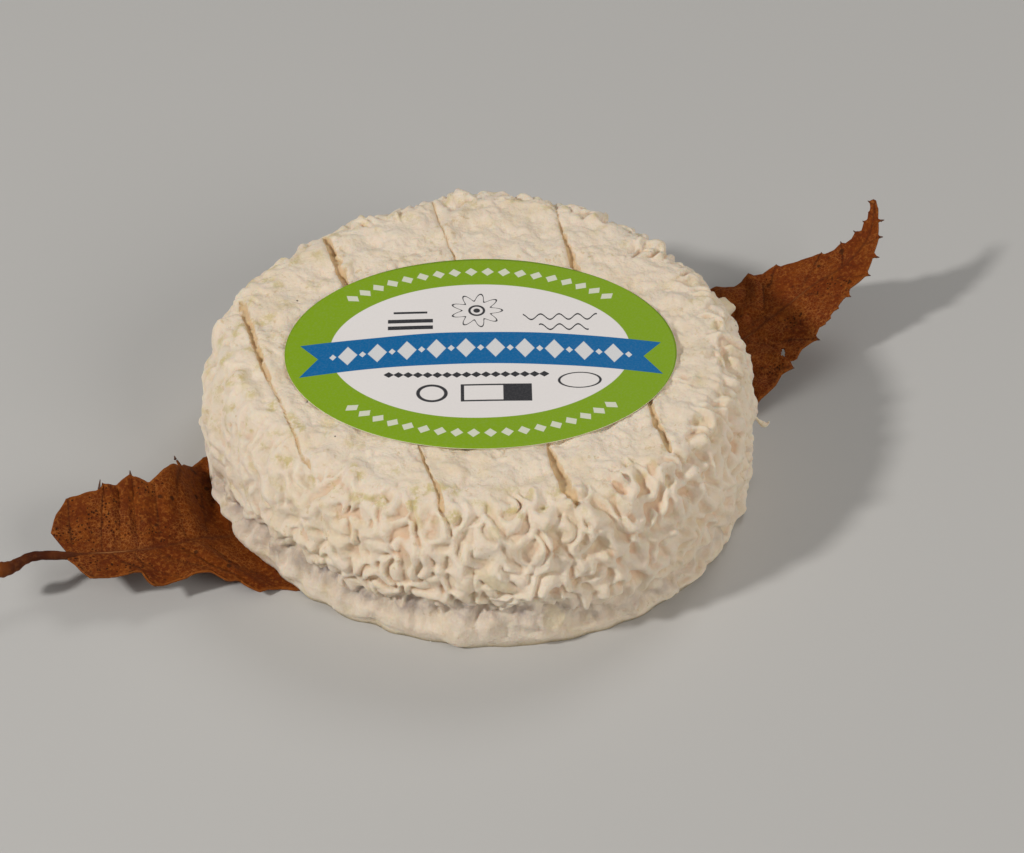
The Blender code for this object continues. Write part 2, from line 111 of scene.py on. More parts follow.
def addAttribute(mesh, name, values):
    layer = mesh.attributes.new(name, "FLOAT", "POINT")
    layer.data.foreach_set("value", np.asarray(values, np.float32))


def addPiece(name, mesh, node):
    piece = bpy.data.objects.new(name, mesh)
    bpy.context.scene.collection.objects.link(piece)
    mesh.polygons.foreach_set("use_smooth", [True] * len(mesh.polygons))
    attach(piece, "root")
    if node:
        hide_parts(node)
    return piece


# Camera, at the photograph's place: found by fitting the outline of the cheese

view = {
    "elevation": 42.0,
    "target": (5.4, -4.7, 12.0),
    "distance": 646.0,
    "focalPixels": 3620.0,
    "imageWidth": 1024,
    "sensorWidth": 36.0,
    "nearest": 0.01,
    "farthest": 20.0,
}


def makeCamera():
    tilt = math.radians(view["elevation"])
    back = Vector((0.0, -math.cos(tilt), math.sin(tilt)))
    data = bpy.data.cameras.new("camera")
    data.sensor_width = view["sensorWidth"]
    data.lens = view["focalPixels"] * view["sensorWidth"] / view["imageWidth"]
    data.clip_start = view["nearest"]
    data.clip_end = view["farthest"]
    camera = bpy.data.objects.new("camera", data)
    camera.location = (Vector(view["target"]) + back * view["distance"]) * mm
    camera.rotation_euler = (-back).to_track_quat("-Z", "Y").to_euler()
    bpy.context.scene.collection.objects.link(camera)
    bpy.context.scene.camera = camera


# Studio: a pale floor, a soft key from the left, a wide fill from the front right, a weak light from behind

studio = {
    "floorSize": 6.0,
    "floorColour": (0.53, 0.525, 0.51),
    "floorRoughness": 0.7,
    "worldColour": (0.88, 0.87, 0.86),
    "worldStrength": 0.15,
    # where each light comes from, its distance, size, power and colour
    "lights": {
        "key": ((-1.12, -0.52, 1.0), 1.15, 0.12, 7.7, (1.0, 0.975, 0.945)),
        "fill": ((0.64, -0.54, 0.50), 1.3, 0.8, 5.9, (1.0, 0.965, 0.92)),
        "back": ((0.5, 0.9, 1.1), 1.3, 0.5, 3.2, (1.0, 0.985, 0.97)),
    },
}


def addLight(name, fromSide, distance, size, power, colour):
    light = bpy.data.lights.new(name, "AREA")
    light.shape = "DISK"
    light.size = size
    light.energy = power
    light.color = colour
    lamp = bpy.data.objects.new(name, light)
    away = Vector(fromSide).normalized()
    lamp.location = away * distance
    lamp.rotation_euler = (-away).to_track_quat("-Z", "Y").to_euler()
    bpy.context.scene.collection.objects.link(lamp)


def makeStudio():
    bm = bmesh.new()
    bmesh.ops.create_grid(bm, x_segments=1, y_segments=1, size=studio["floorSize"] / 2)
    mesh = bpy.data.meshes.new("floor")
    bm.to_mesh(mesh)
    bm.free()
    floor = bpy.data.objects.new("floor", mesh)
    bpy.context.scene.collection.objects.link(floor)
    material = bpy.data.materials.new("paleFloor")
    material.use_nodes = True
    shader = material.node_tree.nodes["Principled BSDF"]
    shader.inputs["Base Color"].default_value = (*studio["floorColour"], 1.0)
    shader.inputs["Roughness"].default_value = studio["floorRoughness"]
    mesh.materials.append(material)

    world = bpy.data.worlds.new("studio")
    world.use_nodes = True
    background = world.node_tree.nodes["Background"]
    background.inputs["Color"].default_value = (*studio["worldColour"], 1.0)
    background.inputs["Strength"].default_value = studio["worldStrength"]
    bpy.context.scene.world = world
    bpy.context.scene.view_settings.view_transform = "Standard"
    for name, light in studio["lights"].items():
        addLight(name, *light)


# Material helpers

class Graph:
    # short forms for building one material's nodes
    def __init__(self, name):
        self.material = bpy.data.materials.new(name)
        self.material.use_nodes = True
        self.tree = self.material.node_tree
        self.shader = self.tree.nodes["Principled BSDF"]
        self.place = self.tree.nodes.new("ShaderNodeTexCoord").outputs["Object"]

    def feed(self, socket, value):
        if isinstance(value, bpy.types.NodeSocket):
            self.tree.links.new(value, socket)
        elif isinstance(value, (tuple, list)) and len(value) == 3 and socket.type == "RGBA":
            socket.default_value = (*value, 1.0)
        else:
            socket.default_value = value

    def math(self, operation, a, b=0.0, c=0.0):
        node = self.tree.nodes.new("ShaderNodeMath")
        node.operation = operation
        for socket, value in zip(node.inputs, (a, b, c)):
            self.feed(socket, value)
        return node.outputs[0]

    def attribute(self, name):
        node = self.tree.nodes.new("ShaderNodeAttribute")
        node.attribute_name = name
        return node.outputs["Fac"]

    def noise(self, scale, detail=3.0, roughness=0.55, place=None):
        node = self.tree.nodes.new("ShaderNodeTexNoise")
        self.feed(node.inputs["Vector"], place or self.place)
        node.inputs["Scale"].default_value = scale
        node.inputs["Detail"].default_value = detail
        node.inputs["Roughness"].default_value = roughness
        return node.outputs["Fac"]

    def cells(self, scale, feature="F1", output="Distance", place=None):
        node = self.tree.nodes.new("ShaderNodeTexVoronoi")
        node.feature = feature
        self.feed(node.inputs["Vector"], place or self.place)
        node.inputs["Scale"].default_value = scale
        return node.outputs[output]

    def ramp(self, value, low, high, start=0.0, end=1.0):
        node = self.tree.nodes.new("ShaderNodeMapRange")
        node.interpolation_type = "SMOOTHSTEP"
        self.feed(node.inputs["Value"], value)
        node.inputs["From Min"].default_value = low
        node.inputs["From Max"].default_value = high
        node.inputs["To Min"].default_value = start
        node.inputs["To Max"].default_value = end
        return node.outputs[0]

    def mix(self, share, first, second, blend="MIX"):
        node = self.tree.nodes.new("ShaderNodeMix")
        node.data_type = "RGBA"
        node.blend_type = blend
        self.feed(node.inputs[0], share)
        self.feed(node.inputs[6], first)
        self.feed(node.inputs[7], second)
        return node.outputs[2]

    def bump(self, height, strength, distance, normal=None):
        node = self.tree.nodes.new("ShaderNodeBump")
        node.inputs["Strength"].default_value = strength
        node.inputs["Distance"].default_value = distance
        self.feed(node.inputs["Height"], height)
        if normal is not None:
            self.feed(node.inputs["Normal"], normal)
        return node.outputs[0]

    def finish(self, colour, roughness, normal, **fixed):
        self.feed(self.shader.inputs["Base Color"], colour)
        self.feed(self.shader.inputs["Roughness"], roughness)
        if normal is not None:
            self.feed(self.shader.inputs["Normal"], normal)
        for name, value in fixed.items():
            self.shader.inputs[name.replace("_", " ")].default_value = value
        return self.material


# Cheese: the same turned body as the solid, with the rind's wrinkles at full depth

cheese = {
    "radius": 48.6,
    "height": 27.3,
    "shoulder": 9.0,
    "bulgeHeight": 11.5,
    "creaseHeight": 5.2,
    "creaseDepth": 1.3,
    "creaseFadesAt": 15.5,
    "lipHeight": 2.2,
    "lipDepth": -0.1,
    "footRadius": 48.1,
    "sectors": 5,
    "sectorSteps": 210,
    "ringSpacing": 0.29,
    "hiddenRingSpacing": 3.0,
    "hiddenWithin": 21.0,
    "triangles": 196000,
    # cosine and sine shares of the radius, for each number of waves round the cheese
    "outOfRound": {
        2: (0.008, -0.011), 3: (-0.015, 0.0), 4: (0.010, -0.003), 5: (0.001, 0.006), 6: (-0.002, 0.002),
    },
    # height of the crease above the lip, at directions round the cheese in degrees
    "crease": [
        (-180, 4.8), (-168, 4.8), (-150, 7.6), (-137, 8.4), (-125, 7.4), (-111, 7.2), (-92, 8.6),
        (-76, 7.6), (-58, 4.6), (-40, 4.2), (0, 5.2), (60, 5.0), (120, 6.0), (150, 4.6), (180, 4.8),
    ],
    # how clearly the lip stands apart from the wrinkles above it
    "lipClear": [
        (-180, 1.0), (-100, 1.0), (-76, 0.8), (-60, 0.25), (-30, 0.1), (10, 0.3), (60, 0.9), (180, 1.0),
    ],
    # a crumb at the right: x, y, z and radius at each point
    "crumb": [
        (47.6, 0.4, 10.6, 0.30), (48.8, 0.3, 10.0, 0.34), (49.7, 0.1, 9.2, 0.30), (50.3, 0.0, 8.6, 0.52),
        (50.9, -0.1, 8.3, 0.50), (51.4, -0.1, 8.5, 0.26), (51.7, 0.0, 9.0, 0.12),
    ],
}

# patterns on the side: bump width round the cheese and down it, spread of widths, seed, rounds
sidePatterns = {
    "drift": (16.0, 16.0, 0.4, 31, 0),
    "bendRound": (7.0, 7.0, 0.4, 32, 0),
    "bendDown": (7.0, 7.0, 0.4, 33, 0),
    "pleats": (2.6, 3.8, 0.30, 34, 3),
    "worms": (2.6, 3.1, 0.30, 35, 3),
    "tangle": (1.6, 1.8, 0.30, 36, 0),
    "middling": (6.5, 6.5, 0.35, 37, 0),
    "lipGrain": (1.1, 1.1, 0.35, 38, 0),
    "broadLumps": (17.0, 17.0, 0.45, 39, 0),
    "hem": (6.5, 6.5, 0.35, 40, 0),
    "lipFolds": (20.0, 2.2, 0.45, 41, 0),
    "lipLumps": (5.2, 6.5, 0.30, 42, 0),
    "foot": (9.0, 9.0, 0.5, 43, 0),
    "olive": (7.0, 4.5, 0.5, 44, 0),
    "fuzz": (8.0, 3.0, 0.5, 45, 0),
    "lumps": (9.0, 9.0, 0.35, 46, 0),
    "wormWidth": (11.0, 11.0, 0.4, 47, 0),
    "lipKnobs": (2.3, 2.6, 0.35, 48, 0),
    "shoulder": (5.0, 5.0, 0.35, 49, 0),
    "knobs": (4.2, 4.2, 0.3, 58, 0),
}

# patterns on the top: bump width, spread of widths, seed, rounds
topPatterns = {
    "ridges": (2.5, 0.30, 51, 4),
    "fine": (1.7, 0.4, 52, 0),
    "grain": (1.0, 0.4, 57, 0),
    "patches": (13.0, 0.45, 53, 0),
    "swells": (7.0, 0.4, 54, 0),
    "broadSwells": (17.0, 0.45, 56, 0),
    "olive": (7.0, 0.5, 55, 0),
}

# the rind's relief in millimetres; a direction comes with how far it reaches, both in degrees
rind = {
    "bend": 0.5,
    "drift": 3.0,
    "pleatsAbove": (14.0, 21.0),
    "tangle": 0.16,
    "middling": 0.30,
    "wormWidth": 0.90,
    "wormWidthVaries": 0.42,
    "softLeft": (185.0, 80.0),
    "softBack": (90.0, 60.0),
    "softBackShare": 0.35,
    "softLoss": 0.45,
    "sideDepth": 1.1,
    "sideLevel": 0.66,
    "swellInWorms": 0.16,
    "knobs": 0.28,
    "knobsRight": (-50.0, 55.0),
    "lumps": 0.27,
    "broadLumpShare": 0.7,
    "shoulderLumps": 0.20,
    "shoulderAt": (45.0, 4.0),
    "hemHeight": 1.3,
    "hemSoft": 0.8,
    "hemFollowsWorms": 1.8,
    "lipFolds": 0.16,
    "lipLumps": 0.34,
    "creaseAt": (-0.3, 2.0),
    "creaseLumps": 0.25,
    "creaseSink": 0.72,
    "lipKnobs": 0.20,
    "lipGrain": 0.05,
    "footWave": 0.22,
    "topDepth": 0.30,
    "topWormWidth": 0.9,
    "fine": 0.055,
    "grain": 0.03,
    "swells": 0.26,
    "broadSwells": 0.14,
    "topEnds": 40.6,
    "furrowRim": 0.16,
    "leafGap": 0.08,
}

# single marks on the side: direction, height and size
marks = {
    "disc": {"angle": -75.0, "height": 5.7, "radius": 2.1, "rim": 0.34, "rimWidth": 0.4},
    "scab": {"angle": -87.0, "height": 15.75, "slope": (0.82, 0.57), "size": (3.8, 1.15), "relief": 0.40},
    "flake": {"angle": 24.0, "height": 19.0, "size": (1.4, 2.6), "relief": 1.9},
}

# where the rind's tints lie
tints = {
    "oliveAt": (41.5, 4.5),
    "oliveFront": (-125.0, 75.0),
    "oliveShares": (0.45, 0.75, 0.45, 0.12),
    # grey bloom and painted shade in the crease: height from the crease and reach, then the direction where
    # it is strongest
    "bloomAndShadeAt": (-0.5, 2.3),
    "bloomAndShadeLeft": (-115.0, 100.0),
    "bareAt": (0.02, 0.22),
    # the rind is darker brown below these heights
    "darkerFootUnder": (0.2, 0.9),
}

# the drying rack's marks: place along, place across and half the width
furrow = {
    "angle": math.radians(16.8),
    "floor": 25.7,
    "depth": 1.0,
    "fullDepthAt": 0.9,
    "shift": 0.15,
    "edgeReach": 0.42,
    "wall": 0.14,
    "roughness": (3.6, 0.5, 62),
    "rimAt": (0.75, 0.55),
    # tan share of the floor at its middle, and how much more it gets towards the left wall as painted shade
    # of that wall
    "shadeTone": (0.88, 0.12),
    "lines": [
        [
            (25.5, -37.7, 0.3), (23.5, -37.9, 0.72), (20.0, -38.1, 0.78), (11.4, -38.4, 0.72),
            (4.9, -38.5, 0.55), (-1.8, -38.0, 0.36), (-8.3, -37.8, 0.31), (-13.7, -37.6, 0.31),
            (-18.7, -37.4, 0.40), (-20.8, -37.1, 0.50), (-22.0, -37.0, 0.20),
        ],
        [
            (39.0, -18.8, 0.50), (36.1, -18.85, 0.70), (29.7, -18.86, 0.95), (23.6, -18.82, 0.80),
            (-21.8, -17.84, 0.30), (-28.5, -18.06, 0.42), (-31.7, -17.91, 0.40), (-35.2, -17.93, 0.60),
            (-38.0, -18.24, 0.65), (-40.0, -18.3, 0.25),
        ],
        [
            (43.0, 2.7, 0.25), (41.4, 2.68, 0.25), (39.8, 2.59, 0.25), (33.2, 2.10, 0.23), (25.2, 2.03, 0.25),
            (-27.9, 3.48, 0.31), (-30.2, 3.30, 0.65), (-33.6, 3.14, 1.0), (-38.9, 3.26, 1.35),
            (-42.4, 3.50, 0.90), (-44.0, 3.5, 0.30),
        ],
        [
            (37.5, 24.3, 0.20), (35.8, 24.17, 0.20), (34.0, 24.08, 0.20), (26.0, 23.0, 0.40),
            (20.9, 22.61, 0.62), (15.6, 22.26, 0.80), (-23.4, 23.39, 0.50), (-28.8, 23.02, 0.85),
            (-34.2, 22.94, 0.70), (-36.2, 22.9, 0.25),
        ],
    ],
}

labelPlace = {
    "length": 69.0,
    "width": 51.0,
    "centre": (-0.1, -2.4),
    "turn": math.radians(1.0),
    "underside": 27.6,
    "bed": 27.5,
}


def cheeseProfile():
    # from the top's centre down the outer side to the foot's centre
    c = cheese
    outline = [(c["radius"] - c["shoulder"] - 6.0, c["height"])]
    for turn in np.linspace(1.0, 0.0, 8):
        swing = turn * math.pi / 2
        out = c["radius"] - c["shoulder"] * (1 - math.cos(swing) ** 0.9)
        up = c["bulgeHeight"] + (c["height"] - c["bulgeHeight"]) * math.sin(swing) ** 0.9
        outline.append((out, up))
    outline += [
        (c["radius"] - 0.3 * c["creaseDepth"], 0.5 * (c["bulgeHeight"] + c["creaseHeight"])),
        (c["radius"] - c["creaseDepth"], c["creaseHeight"]),
        (c["radius"] - c["lipDepth"], c["lipHeight"]),
        (c["radius"] - c["lipDepth"] - 0.5, 0.6),
        (c["footRadius"], 0.0),
    ]
    side = smoothLine(outline, 600)
    length = lengthAlong(side)
    even = np.linspace(0.0, length[-1], int(length[-1] / c["ringSpacing"]))
    side = np.stack([np.interp(even, length, side[:, i]) for i in range(2)], 1)
    side[:, 1] = np.maximum(side[:, 1], 0.0)
    hiddenStep = c["hiddenRingSpacing"]
    hidden = np.arange(0.0, c["hiddenWithin"], hiddenStep)
    shown = np.arange(c["hiddenWithin"], side[0, 0] - 0.5 * c["ringSpacing"], c["ringSpacing"])
    top = [(r, c["height"]) for r in np.concatenate([hidden, shown])]
    foot = [(r, 0.0) for r in np.arange(c["footRadius"] - hiddenStep, hiddenStep, -hiddenStep)]
    return np.array(top + [tuple(p) for p in side] + foot + [(0.0, 0.0)])


def roundShare(angle):
    share = np.ones_like(angle)
    for waves, (cosine, sine) in cheese["outOfRound"].items():
        share += cosine * np.cos(waves * angle) + sine * np.sin(waves * angle)
    return share


def turnProfile(name, profile, sectors, steps):
    # one sector is spun, then copied round, which is quicker than one full turn
    bm = bmesh.new()
    verts = [bm.verts.new((r * mm, 0.0, z * mm)) for r, z in profile]
    edges = [bm.edges.new(pair) for pair in zip(verts[:-1], verts[1:])]
    swing = 2 * math.pi / sectors
    bmesh.ops.spin(bm, geom=verts + edges, cent=(0, 0, 0), axis=(0, 0, 1), angle=swing, steps=steps)
    sector = bm.verts[:] + bm.edges[:] + bm.faces[:]
    for turn in range(1, sectors):
        copied = bmesh.ops.duplicate(bm, geom=sector)["geom"]
        moved = [part for part in copied if isinstance(part, bmesh.types.BMVert)]
        bmesh.ops.rotate(bm, verts=moved, cent=(0, 0, 0), matrix=Matrix.Rotation(swing * turn, 3, "Z"))
    bmesh.ops.remove_doubles(bm, verts=bm.verts, dist=weldWithin)
    bmesh.ops.recalc_face_normals(bm, faces=bm.faces)
    mesh = bpy.data.meshes.new(name)
    bm.to_mesh(mesh)
    bm.free()
    return mesh


def around(angle, centre, width):
    # 1 at a direction round the cheese, fading to 0 at width either side, in degrees
    away = np.abs((np.degrees(angle) - centre + 180.0) % 360.0 - 180.0)
    return 1.0 - smoothStep(0.25 * width, width, away)


def hump(value, centre, width):
    # 1 at the centre, fading away over the width
    return np.exp(-(((value - centre) / width) ** 2))


def wormHeight(field, width):
    # round ridges where the field is high, with a crease at their feet
    return np.sqrt(np.clip((field + width) / (1.35 + width), 0.0, 1.15))


def furrowShape(x, y):
    # gathers points at a furrow's two edges; gives its depth, its raised edges and its painted shade, darker
    # towards the left wall
    f = furrow
    cosine, sine = math.cos(f["angle"]), math.sin(f["angle"])
    across, along = x * cosine + y * sine, y * cosine - x * sine
    wide, spread, seed = f["roughness"]
    rough = readField(bandNoise(topSize, (wide, wide), spread, seed, 512), topSize, x, y)
    inside, rim, shadeTone = np.zeros_like(x), np.zeros_like(x), np.zeros_like(x)
    for line in f["lines"]:
        run, middle, half = np.array(line[::-1]).T
        within = (along > run[0]) & (along < run[-1])
        width = np.interp(along, run, half) * (1.0 + 0.10 * rough)
        off = across - np.interp(along, run, middle) - f["shift"] - 0.05 * rough
        apart = np.abs(off) - width
        reach = np.clip(width, 0.05, f["edgeReach"])
        near = np.clip(apart / reach, -1.0, 1.0)
        slip = within * reach * near * (np.abs(near) ** 1.5 - 1.0)
        across = across + slip * np.sign(off)
        place = np.clip(off / np.maximum(width, 0.01), -1.0, 1.0)
        bowl = np.sqrt(1.0 - place**2) * (1.0 - 0.3 * place)
        sunk = within * smoothStep(0.0, f["wall"], -(apart + slip))
        depth = sunk * f["depth"] * (0.5 + 0.5 * bowl) * np.minimum(1.0, width / f["fullDepthAt"])
        inside = np.maximum(inside, depth)
        # the bare floor's tan share, larger towards the left wall: painted shade of that wall
        shadeTone = np.where(sunk > 0.0, f["shadeTone"][0] - f["shadeTone"][1] * place, shadeTone)
        rim = np.maximum(rim, within * hump(np.abs(off) - width, *f["rimAt"]))
    return across * cosine - along * sine, across * sine + along * cosine, inside, rim, shadeTone


def labelShare(x, y, margin):
    along = (x - labelPlace["centre"][0]) / (labelPlace["length"] / 2 + margin)
    across = (y - labelPlace["centre"][1]) / (labelPlace["width"] / 2 + margin)
    return np.hypot(along, across)


def table(angle, name):
    degrees, value = np.array(cheese[name]).T
    return np.interp(np.degrees(angle), degrees, value)


def fromMark(mark, angle, z):
    # how far round the cheese and up a point lies from a mark
    return (angle - math.radians(mark["angle"])) * cheese["radius"], z - mark["height"]


def makeCheeseMesh():
    r = rind
    profile = cheeseProfile()
    mesh = turnProfile("cheese_rind", profile, cheese["sectors"], cheese["sectorSteps"])
    print("rind turned:", len(mesh.vertices), "points")
    x, y, z = getPoints(mesh).T.copy()
    radius, angle = np.hypot(x, y), np.arctan2(y, x)

    # each point's place along the profile, and the profile's normal there
    middle = 0.5 * cheese["height"]
    length = lengthAlong(profile)
    lean = np.arctan2(profile[:, 1] - middle, profile[:, 0])
    down = np.interp(-np.arctan2(z - middle, radius), -lean, length)
    slope = np.gradient(profile, length, axis=0)
    outward = np.interp(down, length, -slope[:, 1])
    upward = np.interp(down, length, slope[:, 0])
    underside = z < 0.01
    high = z > middle

    # the crease above the lip runs higher in front
    crease = table(angle, "crease")
    base = cheese["creaseHeight"]
    lift = (crease - base) * smoothStep(0.0, base, z) * (1.0 - smoothStep(base, cheese["creaseFadesAt"], z))
    z = z + lift

    girth = 2 * math.pi * cheese["radius"]
    strip = (girth, girth / 4)
    turn = angle * cheese["radius"]

    def onSide(name, u=turn, v=down):
        wide, tall, spread, seed, rounds = sidePatterns[name]
        return readField(bandNoise(strip, (wide, tall), spread, seed, 1024, rounds), strip, u, v)

    def onTop(name):
        wide, spread, seed, rounds = topPatterns[name]
        return readField(bandNoise(topSize, (wide, wide), spread, seed, 512, rounds), topSize, x, y)

    # side: pleats that hang from the shoulder, tangled worms below them
    drift = onSide("drift")
    bendU = turn + r["bend"] * onSide("bendRound")
    bendV = down - lift + r["bend"] * onSide("bendDown")
    pleats = onSide("pleats", bendU, bendV)
    worms = onSide("worms", bendU, bendV)
    tangle = onSide("tangle", bendU, bendV)
    middling = onSide("middling")
    hanging = smoothStep(*r["pleatsAbove"], z + r["drift"] * drift)
    pattern = pleats * hanging + worms * (1 - hanging) + r["tangle"] * tangle + r["middling"] * middling
    soft = np.maximum(around(angle, *r["softLeft"]), r["softBackShare"] * around(angle, *r["softBack"]))
    varied = r["wormWidthVaries"] * np.clip(onSide("wormWidth"), -1.2, 1.2)
    ridge = wormHeight(pattern, r["wormWidth"] + varied)
    lumps = r["broadLumpShare"] * onSide("broadLumps") + onSide("lumps")

    # the wrinkles end in a scalloped hem over the smooth lip
    hem = crease + r["hemHeight"] + onSide("hem", turn, np.full_like(turn, 3.0))
    clear = table(angle, "lipClear")
    aboveHem = smoothStep(-r["hemSoft"], r["hemSoft"], z - hem + r["hemFollowsWorms"] * (ridge - 0.6))
    aboveHem = np.maximum(aboveHem, 0.75 * (1 - clear) * smoothStep(0.4, 2.5, z))
    lipLumps = onSide("lipLumps")
    inCrease = hump(z - crease, *r["creaseAt"]) * (1 - aboveHem)
    disc = marks["disc"]
    fromDisc = np.hypot(*fromMark(disc, angle, z))
    offDisc = smoothStep(1.6, 2.8, fromDisc)
    offFoot = smoothStep(0.0, 1.6, z)
    depth = r["sideDepth"] * (1.0 - r["softLoss"] * soft)
    knobs = r["knobs"] * onSide("knobs") * around(angle, *r["knobsRight"])
    sideRelief = aboveHem * (depth * (ridge - r["sideLevel"] + r["swellInWorms"] * middling) + knobs)
    lip = r["lipFolds"] * onSide("lipFolds") + r["lipLumps"] * lipLumps * smoothStep(0.5, 4.5, z)
    lip += r["creaseLumps"] * inCrease * lipLumps
    lip -= r["creaseSink"] * inCrease * clear
    lip += r["lipKnobs"] * onSide("lipKnobs") * smoothStep(1.5, 4.5, z) + r["lipGrain"] * onSide("lipGrain")
    discRim = disc["rim"] * hump(fromDisc, disc["radius"], disc["rimWidth"])
    sideRelief += (1 - aboveHem) * offFoot * offDisc * lip + discRim
    sideRelief += r["lumps"] * lumps * offFoot
    sideRelief += r["shoulderLumps"] * onSide("shoulder") * hump(down, *r["shoulderAt"])
    footWave = onSide("foot", turn, np.zeros_like(turn))
    sideRelief += (1 - smoothStep(0.0, 5.0, z)) * r["footWave"] * footWave

    # top: nearly smooth, with patches of low folds
    patches = smoothStep(-0.4, 1.3, onTop("patches"))
    topRidge = wormHeight(onTop("ridges"), r["topWormWidth"])
    fine = r["fine"] * onTop("fine") + r["grain"] * onTop("grain")
    topRelief = r["topDepth"] * (0.35 + 0.85 * patches) * (topRidge - 0.5) + fine
    topRelief += r["swells"] * onTop("swells") + r["broadSwells"] * onTop("broadSwells")

    edge = r["topEnds"] + 1.6 * drift + 1.5 * soft
    sideShare = smoothStep(edge - 2.0, edge + 3.0, down)
    relief = topRelief + (sideRelief - topRelief) * sideShare
    topTone = 0.62 + 0.18 * topRidge
    sideTone = ridge * (1 - 0.35 * soft) + 0.35 * soft
    ridgeHeight = topTone + (sideTone * aboveHem + 0.8 * (1 - aboveHem) - topTone) * sideShare

    # a smooth scab in front
    scab = marks["scab"]
    scabU, scabZ = fromMark(scab, angle, z)
    cosine, sine = scab["slope"]
    inScab = np.hypot(
        (cosine * scabU - sine * scabZ) / scab["size"][0], (sine * scabU + cosine * scabZ) / scab["size"][1]
    )
    inScab = 1.0 - smoothStep(0.75, 1.25, inScab)
    relief += inScab * (scab["relief"] - relief)

    # a loose flake at the right
    flake = marks["flake"]
    flakeU, flakeZ = fromMark(flake, angle, z)
    inFlake = np.hypot(np.abs(flakeU) / flake["size"][0], np.abs(flakeZ) / flake["size"][1])
    inFlake = 1.0 - smoothStep(0.8, 1.1, inFlake)
    relief += flake["relief"] * inFlake
    relief[underside & (radius < cheese["footRadius"] - 0.5)] = 0.0

    radius = radius * roundShare(angle) + relief * outward
    z = z + relief * np.where(underside, 0.0, upward)
    x, y = radius * np.cos(angle), radius * np.sin(angle)

    # the furrows, then the label's bed
    movedX, movedY, inside, rim, shadeTone = furrowShape(x, y)
    x, y = np.where(high, movedX, x), np.where(high, movedY, y)
    inBed = (1.0 - smoothStep(0.99, 1.05, labelShare(x, y, 0.5))) * high
    z = z - np.maximum(z - labelPlace["bed"], 0.0) * inBed
    z = z + r["furrowRim"] * rim * (inside == 0.0) * (1 - inBed) * high * (z > furrow["floor"] - 0.4)
    sunk = np.minimum(inside, np.maximum(z - furrow["floor"], 0.0)) * high
    z = z - sunk

    # it has sunk round the leaf, which lies flat under it
    overLeaf = leafCovers(x, y) * (1.0 - smoothStep(0.0, 5.0, z))
    z = z + overLeaf * (leaf["thickness"] + r["leafGap"])
    setPoints(mesh, np.stack([x, y, z], 1))
    print("rind shaped")

    # shares of each tint, read by the material
    t = tints
    ring, front, softArea, rest = t["oliveShares"]
    oliveNoise = onSide("olive") * sideShare + onTop("olive") * (1 - sideShare)
    oliveZone = hump(down, *t["oliveAt"]) * (ring + front * around(angle, *t["oliveFront"]))
    oliveZone = oliveZone + softArea * soft + rest
    fuzz = smoothStep(-0.6, 1.2, onSide("fuzz"))
    # grey bloom in the crease over the lip, with painted shade darkening the crease
    inHollow = hump(z - crease, *t["bloomAndShadeAt"])
    inHollow = inHollow * (1 - 0.65 * aboveHem) * smoothStep(1.6, 3.6, z)
    onDisc = 0.8 * (1.0 - smoothStep(1.9, 2.4, fromDisc))
    shares = {
        "ridge": ridgeHeight,
        # bare rind tan on furrow floors, made darker towards the left wall as painted shade
        "bareAndShade": smoothStep(*t["bareAt"], sunk) * shadeTone,
        "olive": smoothStep(0.1, 1.3, oliveNoise) * np.clip(oliveZone, 0.0, 1.0),
        "bloomAndShade": inHollow * (0.85 + 0.35 * fuzz) * (0.55 + 0.45 * around(angle, *t["bloomAndShadeLeft"])),
        "flake": np.maximum(inFlake, np.maximum(inScab, onDisc)),
        # darker brown along the bottom edge
        "darkerFoot": 1.0 - smoothStep(*t["darkerFootUnder"], z),
    }
    for name, values in shares.items():
        addAttribute(mesh, name, values)
    return mesh


rindColours = {
    "ridge": (0.85, 0.728, 0.58),
    "creamValley": (0.80, 0.65, 0.47),
    "rosyValley": (0.78, 0.55, 0.365),
    "pale": (0.88, 0.775, 0.645),
    "straw": (0.79, 0.65, 0.455),
    "olive": (0.655, 0.545, 0.27),
    "fleck": (0.64, 0.47, 0.24),
    # tan of the bare furrow floor, darkened as painted shade of its walls
    "bareAndShade": (0.71, 0.495, 0.255),
    # grey fuzz in the crease, also painted shade of the crease
    "bloomAndShade": (0.43, 0.36, 0.32),
    "flake": (0.74, 0.635, 0.42),
    # darker brown for the bottom edge
    "darkerFoot": (0.48, 0.36, 0.19),
    "grain": (0.72, 0.59, 0.43),
    "speck": (0.10, 0.075, 0.04),
}

# scale, detail and roughness of the rind's noise
rindNoises = {
    "mottle": (75.0, 3.0),
    "broad": (130.0, 3.0, 0.6),
    "small": (420.0, 3.0),
    "grain": (1900.0, 4.0, 0.6),
    "fluff": (950.0, 3.0, 0.6),
    "rosy": (110.0, 2.0),
    "olive": (620.0, 5.0, 0.7),
    "flecks": (800.0, 3.0, 0.6),
    "fleckAreas": (95.0, 2.0),
    # speckles the crease's grey bloom and painted shade
    "bloomAndShade": (480.0, 4.0, 0.6),
}

rindShader = {
    "Subsurface_Weight": 0.35,
    "Subsurface_Radius": (1.0, 0.62, 0.38),
    "Subsurface_Scale": 0.0016,
    "Sheen_Weight": 0.04,
    "Sheen_Roughness": 0.5,
    "Specular_IOR_Level": 0.25,
}


